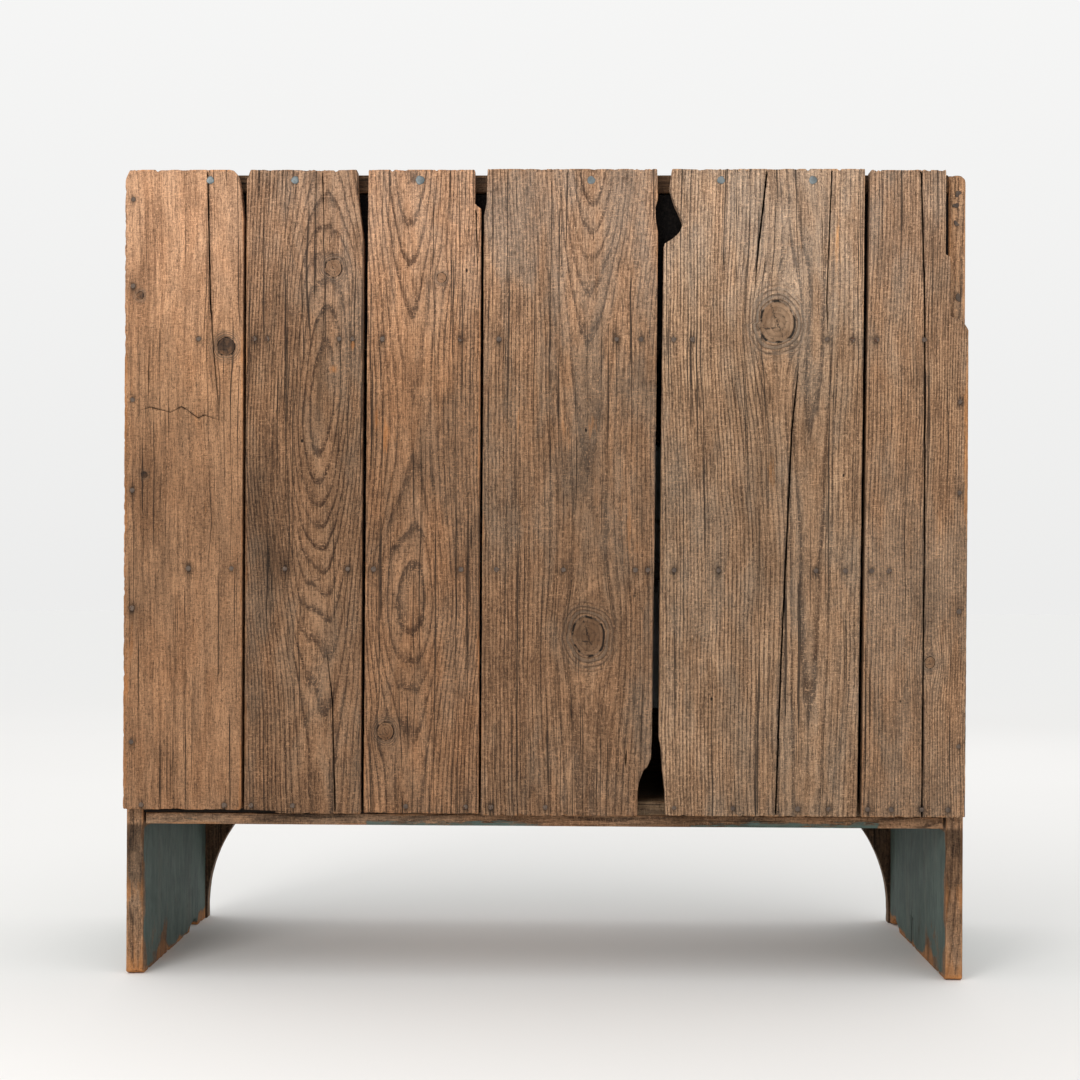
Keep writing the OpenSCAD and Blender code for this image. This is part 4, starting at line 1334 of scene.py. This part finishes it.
def small_metal(
    name, body, places, profile, material, slot, count=12, node=None, square=0.0, slot_w=0.0, tilt=0.1
):
    """Heads of nails, tacks or screws.

    Each place is (centre, the way it faces, radius in mm), and the profile (share of radius, height in mm).
    square is how far a head is squared, slot_w half the width of a screw's slot, and tilt in radians.
    """
    bm = bmesh.new()
    rng = np.random.default_rng(5)
    for k, (c, facing, radius) in enumerate(places):
        out = Vector(facing)
        turn = out.to_track_quat("Z", "Y").to_matrix()
        for low, high, around in ((-tilt, tilt, "X"), (-tilt, tilt, "Y"), (0, 3, "Z")):
            turn = turn @ Matrix.Rotation(rng.uniform(low, high), 3, around)
        size = radius * (0.9 + 0.2 * rng.random())
        rings = []
        for pr, h in profile:
            ring = []
            for i in range(count):
                a = 2 * math.pi * i / count
                corner = 1 / max(abs(math.cos(a)), abs(math.sin(a))) ** square
                wave = (1 + 0.05 * math.sin(3 * a + k) + 0.03 * math.sin(5 * a + 2 * k)) * corner
                x, y = size * pr * wave * math.cos(a), size * pr * wave * math.sin(a)
                sunk = SLOT_DEPTH if abs(y) < slot_w and 0 < pr < 0.95 and h > 0 else 0.0
                ring.append(bm.verts.new(Vector(c) + turn @ (Vector((x, y, h - sunk)) * MM)))
                if pr == 0.0:
                    break
            rings.append(ring)
        for a, b in zip(rings, rings[1:]):
            for i in range(count):
                j = (i + 1) % count
                bm.faces.new((a[i], a[j], b[0]) if len(b) == 1 else (a[i], a[j], b[j], b[i]))
        bm.faces.new(rings[0])
    metal_piece(name, body, bm, material, slot, node)


def metal_piece(name, body, bm, material, slot, node=None):
    mesh = bpy.data.meshes.new(name)
    bmesh.ops.recalc_face_normals(bm, faces=bm.faces)
    bm.to_mesh(mesh)
    bm.free()
    for f in mesh.polygons:
        f.use_smooth = True
    add_object(name, mesh, material, body, node, slot)


CUT_HEAD = [
    (0.45, -6), (0.45, -1.0), (0.95, -1.0), (1.0, -0.5), (0.85, -0.12), (0.6, 0.0), (0.4, -0.06), (0.0, -0.1)
]
ROUND_HEAD = [(0.25, -6), (0.25, -0.9), (1.0, -0.9), (1.03, -0.45), (0.9, -0.12), (0.55, -0.02), (0.0, 0.0)]
DOME = [(0.5, -1.0), (1.0, -0.4), (0.95, 0.1), (0.75, 0.5), (0.4, 0.75), (0.0, 0.85)]
FLAT_SCREW = [(0.6, -1.5), (1.0, -0.05), (0.97, 0.12), (0.85, 0.25), (0.55, 0.34), (0.25, 0.38), (0.0, 0.38)]

def sink(heads, depth, radius):
    """Places for heads that lie a little below the surface, depth in metres."""
    return [(c - (0, depth * f, 0), (0, f, 0), radius) for c, f in heads]


small_metal(
    "cut_nail_heads", "case", sink(cut_heads, 0.0003, 3.0), CUT_HEAD, nail_iron, "rusty_iron",
    node="cut_nails", square=0.55,
)
small_metal(
    "roofing_nail_heads", "case", sink(round_heads, 0.0004, 5.3), ROUND_HEAD, galvanised, "galvanised_steel",
    count=16, node="galvanised_nails", tilt=0.04,
)

# old nails in the rear edge of a side board, bared where the last plank is broken off
lo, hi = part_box("side_board_left")
places = [
    ((lo.x + across * MM, hi.y, hi.z - down * MM), (0, 1, 0), 4.6)
    for across, down in ((9, 25), (13, 38), (11, 61), (8, 156))
]
small_metal("edge_nail_heads", "case", places, CUT_HEAD, nail_iron, "rusty_iron", square=0.55, tilt=0.3)


def facing_place(up, sign, radius, at):
    """A place for a head that faces up or down one axis. at gives its three coordinates by axis number."""
    out = [0, 0, 0]
    out[up] = sign
    return np.array([at[i] for i in range(3)]), tuple(out), radius


SCREW_PLACES = ((0.16, 0.012), (0.5, 0.0065), (0.84, 0.012))  # share of a leaf's length, metres from its edge


def leaf_screws(node, facing):
    """Three screws in a triangle on each leaf, clear of its knuckles."""
    up = "xyz".index(facing[1])
    sign = 1 if facing[0] == "+" else -1
    found = []
    for g in solids(node):
        lo, hi = g.min(0), g.max(0)
        size = hi - lo
        long = max((i for i in range(3) if i != up), key=lambda i: size[i])
        across = 3 - up - long
        # the leaf's plain edge is the end that stands lower than the knuckles
        ends = []
        for edge in (lo[across], hi[across]):
            rim = g[np.abs(g[:, across] - edge) < 0.001]
            ends.append((edge, (rim[:, up] * sign).max() * sign))
        plain, level = max(ends, key=lambda e: abs(e[1] - (hi[up] if sign > 0 else lo[up])))
        inward = 1 if plain == lo[across] else -1
        for along, offset in SCREW_PLACES:
            at = {long: lo[long] + along * size[long], across: plain + inward * offset, up: level}
            found.append(facing_place(up, sign, 3.1, at))
    return found


for node, (body, facing) in LEAVES.items():
    places = leaf_screws(node, facing)
    small_metal(node + "_screws", body, places, FLAT_SCREW, rusty, "rusty_iron", 20, slot_w=0.55, tilt=0.03)


def round_the_edge(node, up, sign, pitch):
    """Places for tacks in a row round the edge of a rectangular pad."""
    inset, sunk_in = 0.008, 0.0011
    lo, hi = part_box(node)
    level = hi[up] - sunk_in if sign > 0 else lo[up] + sunk_in
    a, b = [i for i in range(3) if i != up]
    found = []
    for run, other in ((a, b), (b, a)):
        length = hi[run] - lo[run] - 2 * inset
        count = max(2, round(length / pitch))
        for i in range(count + 1):
            for edge in (lo[other] + inset, hi[other] - inset):
                at = {run: lo[run] + inset + length * i / count, other: edge, up: level}
                found.append(facing_place(up, sign, 2.2, at))
    return found


for body, up, sign, pitch in (("lid", 2, -1, 0.05), ("left_door", 1, 1, 0.045), ("right_door", 1, 1, 0.045)):
    places = round_the_edge(body + "_pad", up, sign, pitch)
    small_metal(body + "_pad_tacks", body, places, DOME, galvanised, "galvanised_steel", 8)


def seams():
    """Beads of solder down the liner's inner corners and round its floor."""
    co = corners("zinc_liner")
    wall = co[co[:, 2] < co[:, 2].max() - 0.01]
    low, high = wall.min(0), wall.max(0)
    sheet = 0.0012
    x, y0, y1 = high[0] - sheet, low[1] + sheet, high[1] - sheet
    z0, z1 = low[2] + sheet, co[:, 2].max() - 0.002
    lines = [((s * x, y, z0), (s * x, y, z1)) for s in (-1, 1) for y in (y0, y1)]
    lines += [((-x, y, z0), (x, y, z0)) for y in (y0, y1)]
    lines += [((s * x, y0, z0), (s * x, y1, z0)) for s in (-1, 1)]
    bm = bmesh.new()
    rng = np.random.default_rng(8)
    sides, pitch = 8, 0.006
    angles = np.arange(sides) * 2 * math.pi / sides
    for one, two in lines:
        one, two = Vector(one), Vector(two)
        along = (two - one).normalized()
        side = along.orthogonal().normalized()
        other = along.cross(side)
        count = int((two - one).length / pitch)
        rings = []
        for i in range(count + 1):
            r = (1.5 + 0.9 * rng.random()) * MM
            c = one.lerp(two, i / count)
            rings.append([bm.verts.new(c + r * (math.cos(a) * side + math.sin(a) * other)) for a in angles])
        for a, b in zip(rings, rings[1:]):
            for i in range(sides):
                j = (i + 1) % sides
                bm.faces.new((a[i], a[j], b[j], b[i]))
        bm.faces.new(rings[0])
        bm.faces.new(rings[-1])
    return bm


metal_piece("liner_solder", "case", seams(), zinc, "zinc")

# ---------------------------------------------------------------- floor, light and camera

HORIZON = (0.845, 0.845, 0.84)
SKY_RISE = 0.24  # how much brighter the top of the sky is than the horizon
FLOOR_REACH = 40.0
CAMERA_DISTANCE = 2.33  # from the plank back


def stage_material():
    b = Paintbox("studio_floor")
    p = b.put("ShaderNodeTexCoord", out=3)
    soft = b.noise(p, scale=0.6, detail=2)
    far = b.step(b.put("ShaderNodeVectorMath", {0: p}, operation="LENGTH", out=1), 2.0, 9.0)
    colour = b.lay((0.850, 0.842, 0.830), (b.step(soft, 0.3, 0.7), (0.860, 0.852, 0.842)), (far, HORIZON))
    return b.finish(colour, 0.9, specular=0.0)


mesh = bpy.data.meshes.new("studio_floor")
signs = ((-1, -1), (1, -1), (1, 1), (-1, 1))
mesh.from_pydata([(x * FLOOR_REACH, y * FLOOR_REACH, 0) for x, y in signs], [], [(0, 1, 2, 3)])
floor = bpy.data.objects.new("studio_floor", mesh)
bpy.context.scene.collection.objects.link(floor)
mesh.materials.append(stage_material())

# the sky grows brighter upwards, so that the floor it lights is as bright as the horizon
world = bpy.data.worlds.new("studio")
bpy.context.scene.world = world
world.use_nodes = True
tree = world.node_tree
where = tree.nodes.new("ShaderNodeTexCoord")
split_z = tree.nodes.new("ShaderNodeSeparateXYZ")
rise, above = tree.nodes.new("ShaderNodeMath"), tree.nodes.new("ShaderNodeMath")
rise.operation, above.operation = "MULTIPLY_ADD", "MAXIMUM"
tree.links.new(where.outputs["Generated"], split_z.inputs[0])
tree.links.new(split_z.outputs[2], above.inputs[0])
above.inputs[1].default_value = 0.0
tree.links.new(above.outputs[0], rise.inputs[0])
rise.inputs[1].default_value, rise.inputs[2].default_value = SKY_RISE / HORIZON[0], 1.0
background = tree.nodes["Background"]
background.inputs[0].default_value = (*HORIZON, 1)
tree.links.new(rise.outputs[0], background.inputs[1])


def area(name, place, target, size, power, colour=(1, 1, 1)):
    """A soft light at a place, turned to a target. size is its width and height."""
    light = bpy.data.lights.new(name, "AREA")
    light.energy, light.color, light.shape = power, colour, "RECTANGLE"
    light.size, light.size_y = size
    o = bpy.data.objects.new(name, light)
    bpy.context.scene.collection.objects.link(o)
    o.location = place
    o.rotation_mode = "QUATERNION"
    o.rotation_quaternion = (Vector(target) - Vector(place)).to_track_quat("-Z", "Y")


area("key_light", (1.4, 2.9, 1.5), (0.0, 0.2, 0.5), (1.2, 0.9), 36, (1.0, 0.985, 0.96))
area("front_light", (-0.8, -3.2, 2.4), (0, 0, 0.5), (2.2, 2.2), 8)

bpy.context.scene.view_settings.view_transform = "Standard"

# the camera looks at the plank back, square on but for a degree
camera = bpy.data.cameras.new("camera")
camera.sensor_width, camera.lens = 36.0, 61.33
camera.shift_x, camera.shift_y = 0.0044, 0.0472
cam = bpy.data.objects.new("camera", camera)
bpy.context.scene.collection.objects.link(cam)
cam.location = (-0.034, rear_y + CAMERA_DISTANCE, 0.494)
yaw, pitch, roll = (math.radians(a) for a in (181.1, 90, 0.24))
aim = Matrix.Rotation(yaw, 3, "Z") @ Matrix.Rotation(pitch, 3, "X") @ Matrix.Rotation(roll, 3, "Z")
cam.rotation_euler = aim.to_euler()
bpy.context.scene.camera = cam
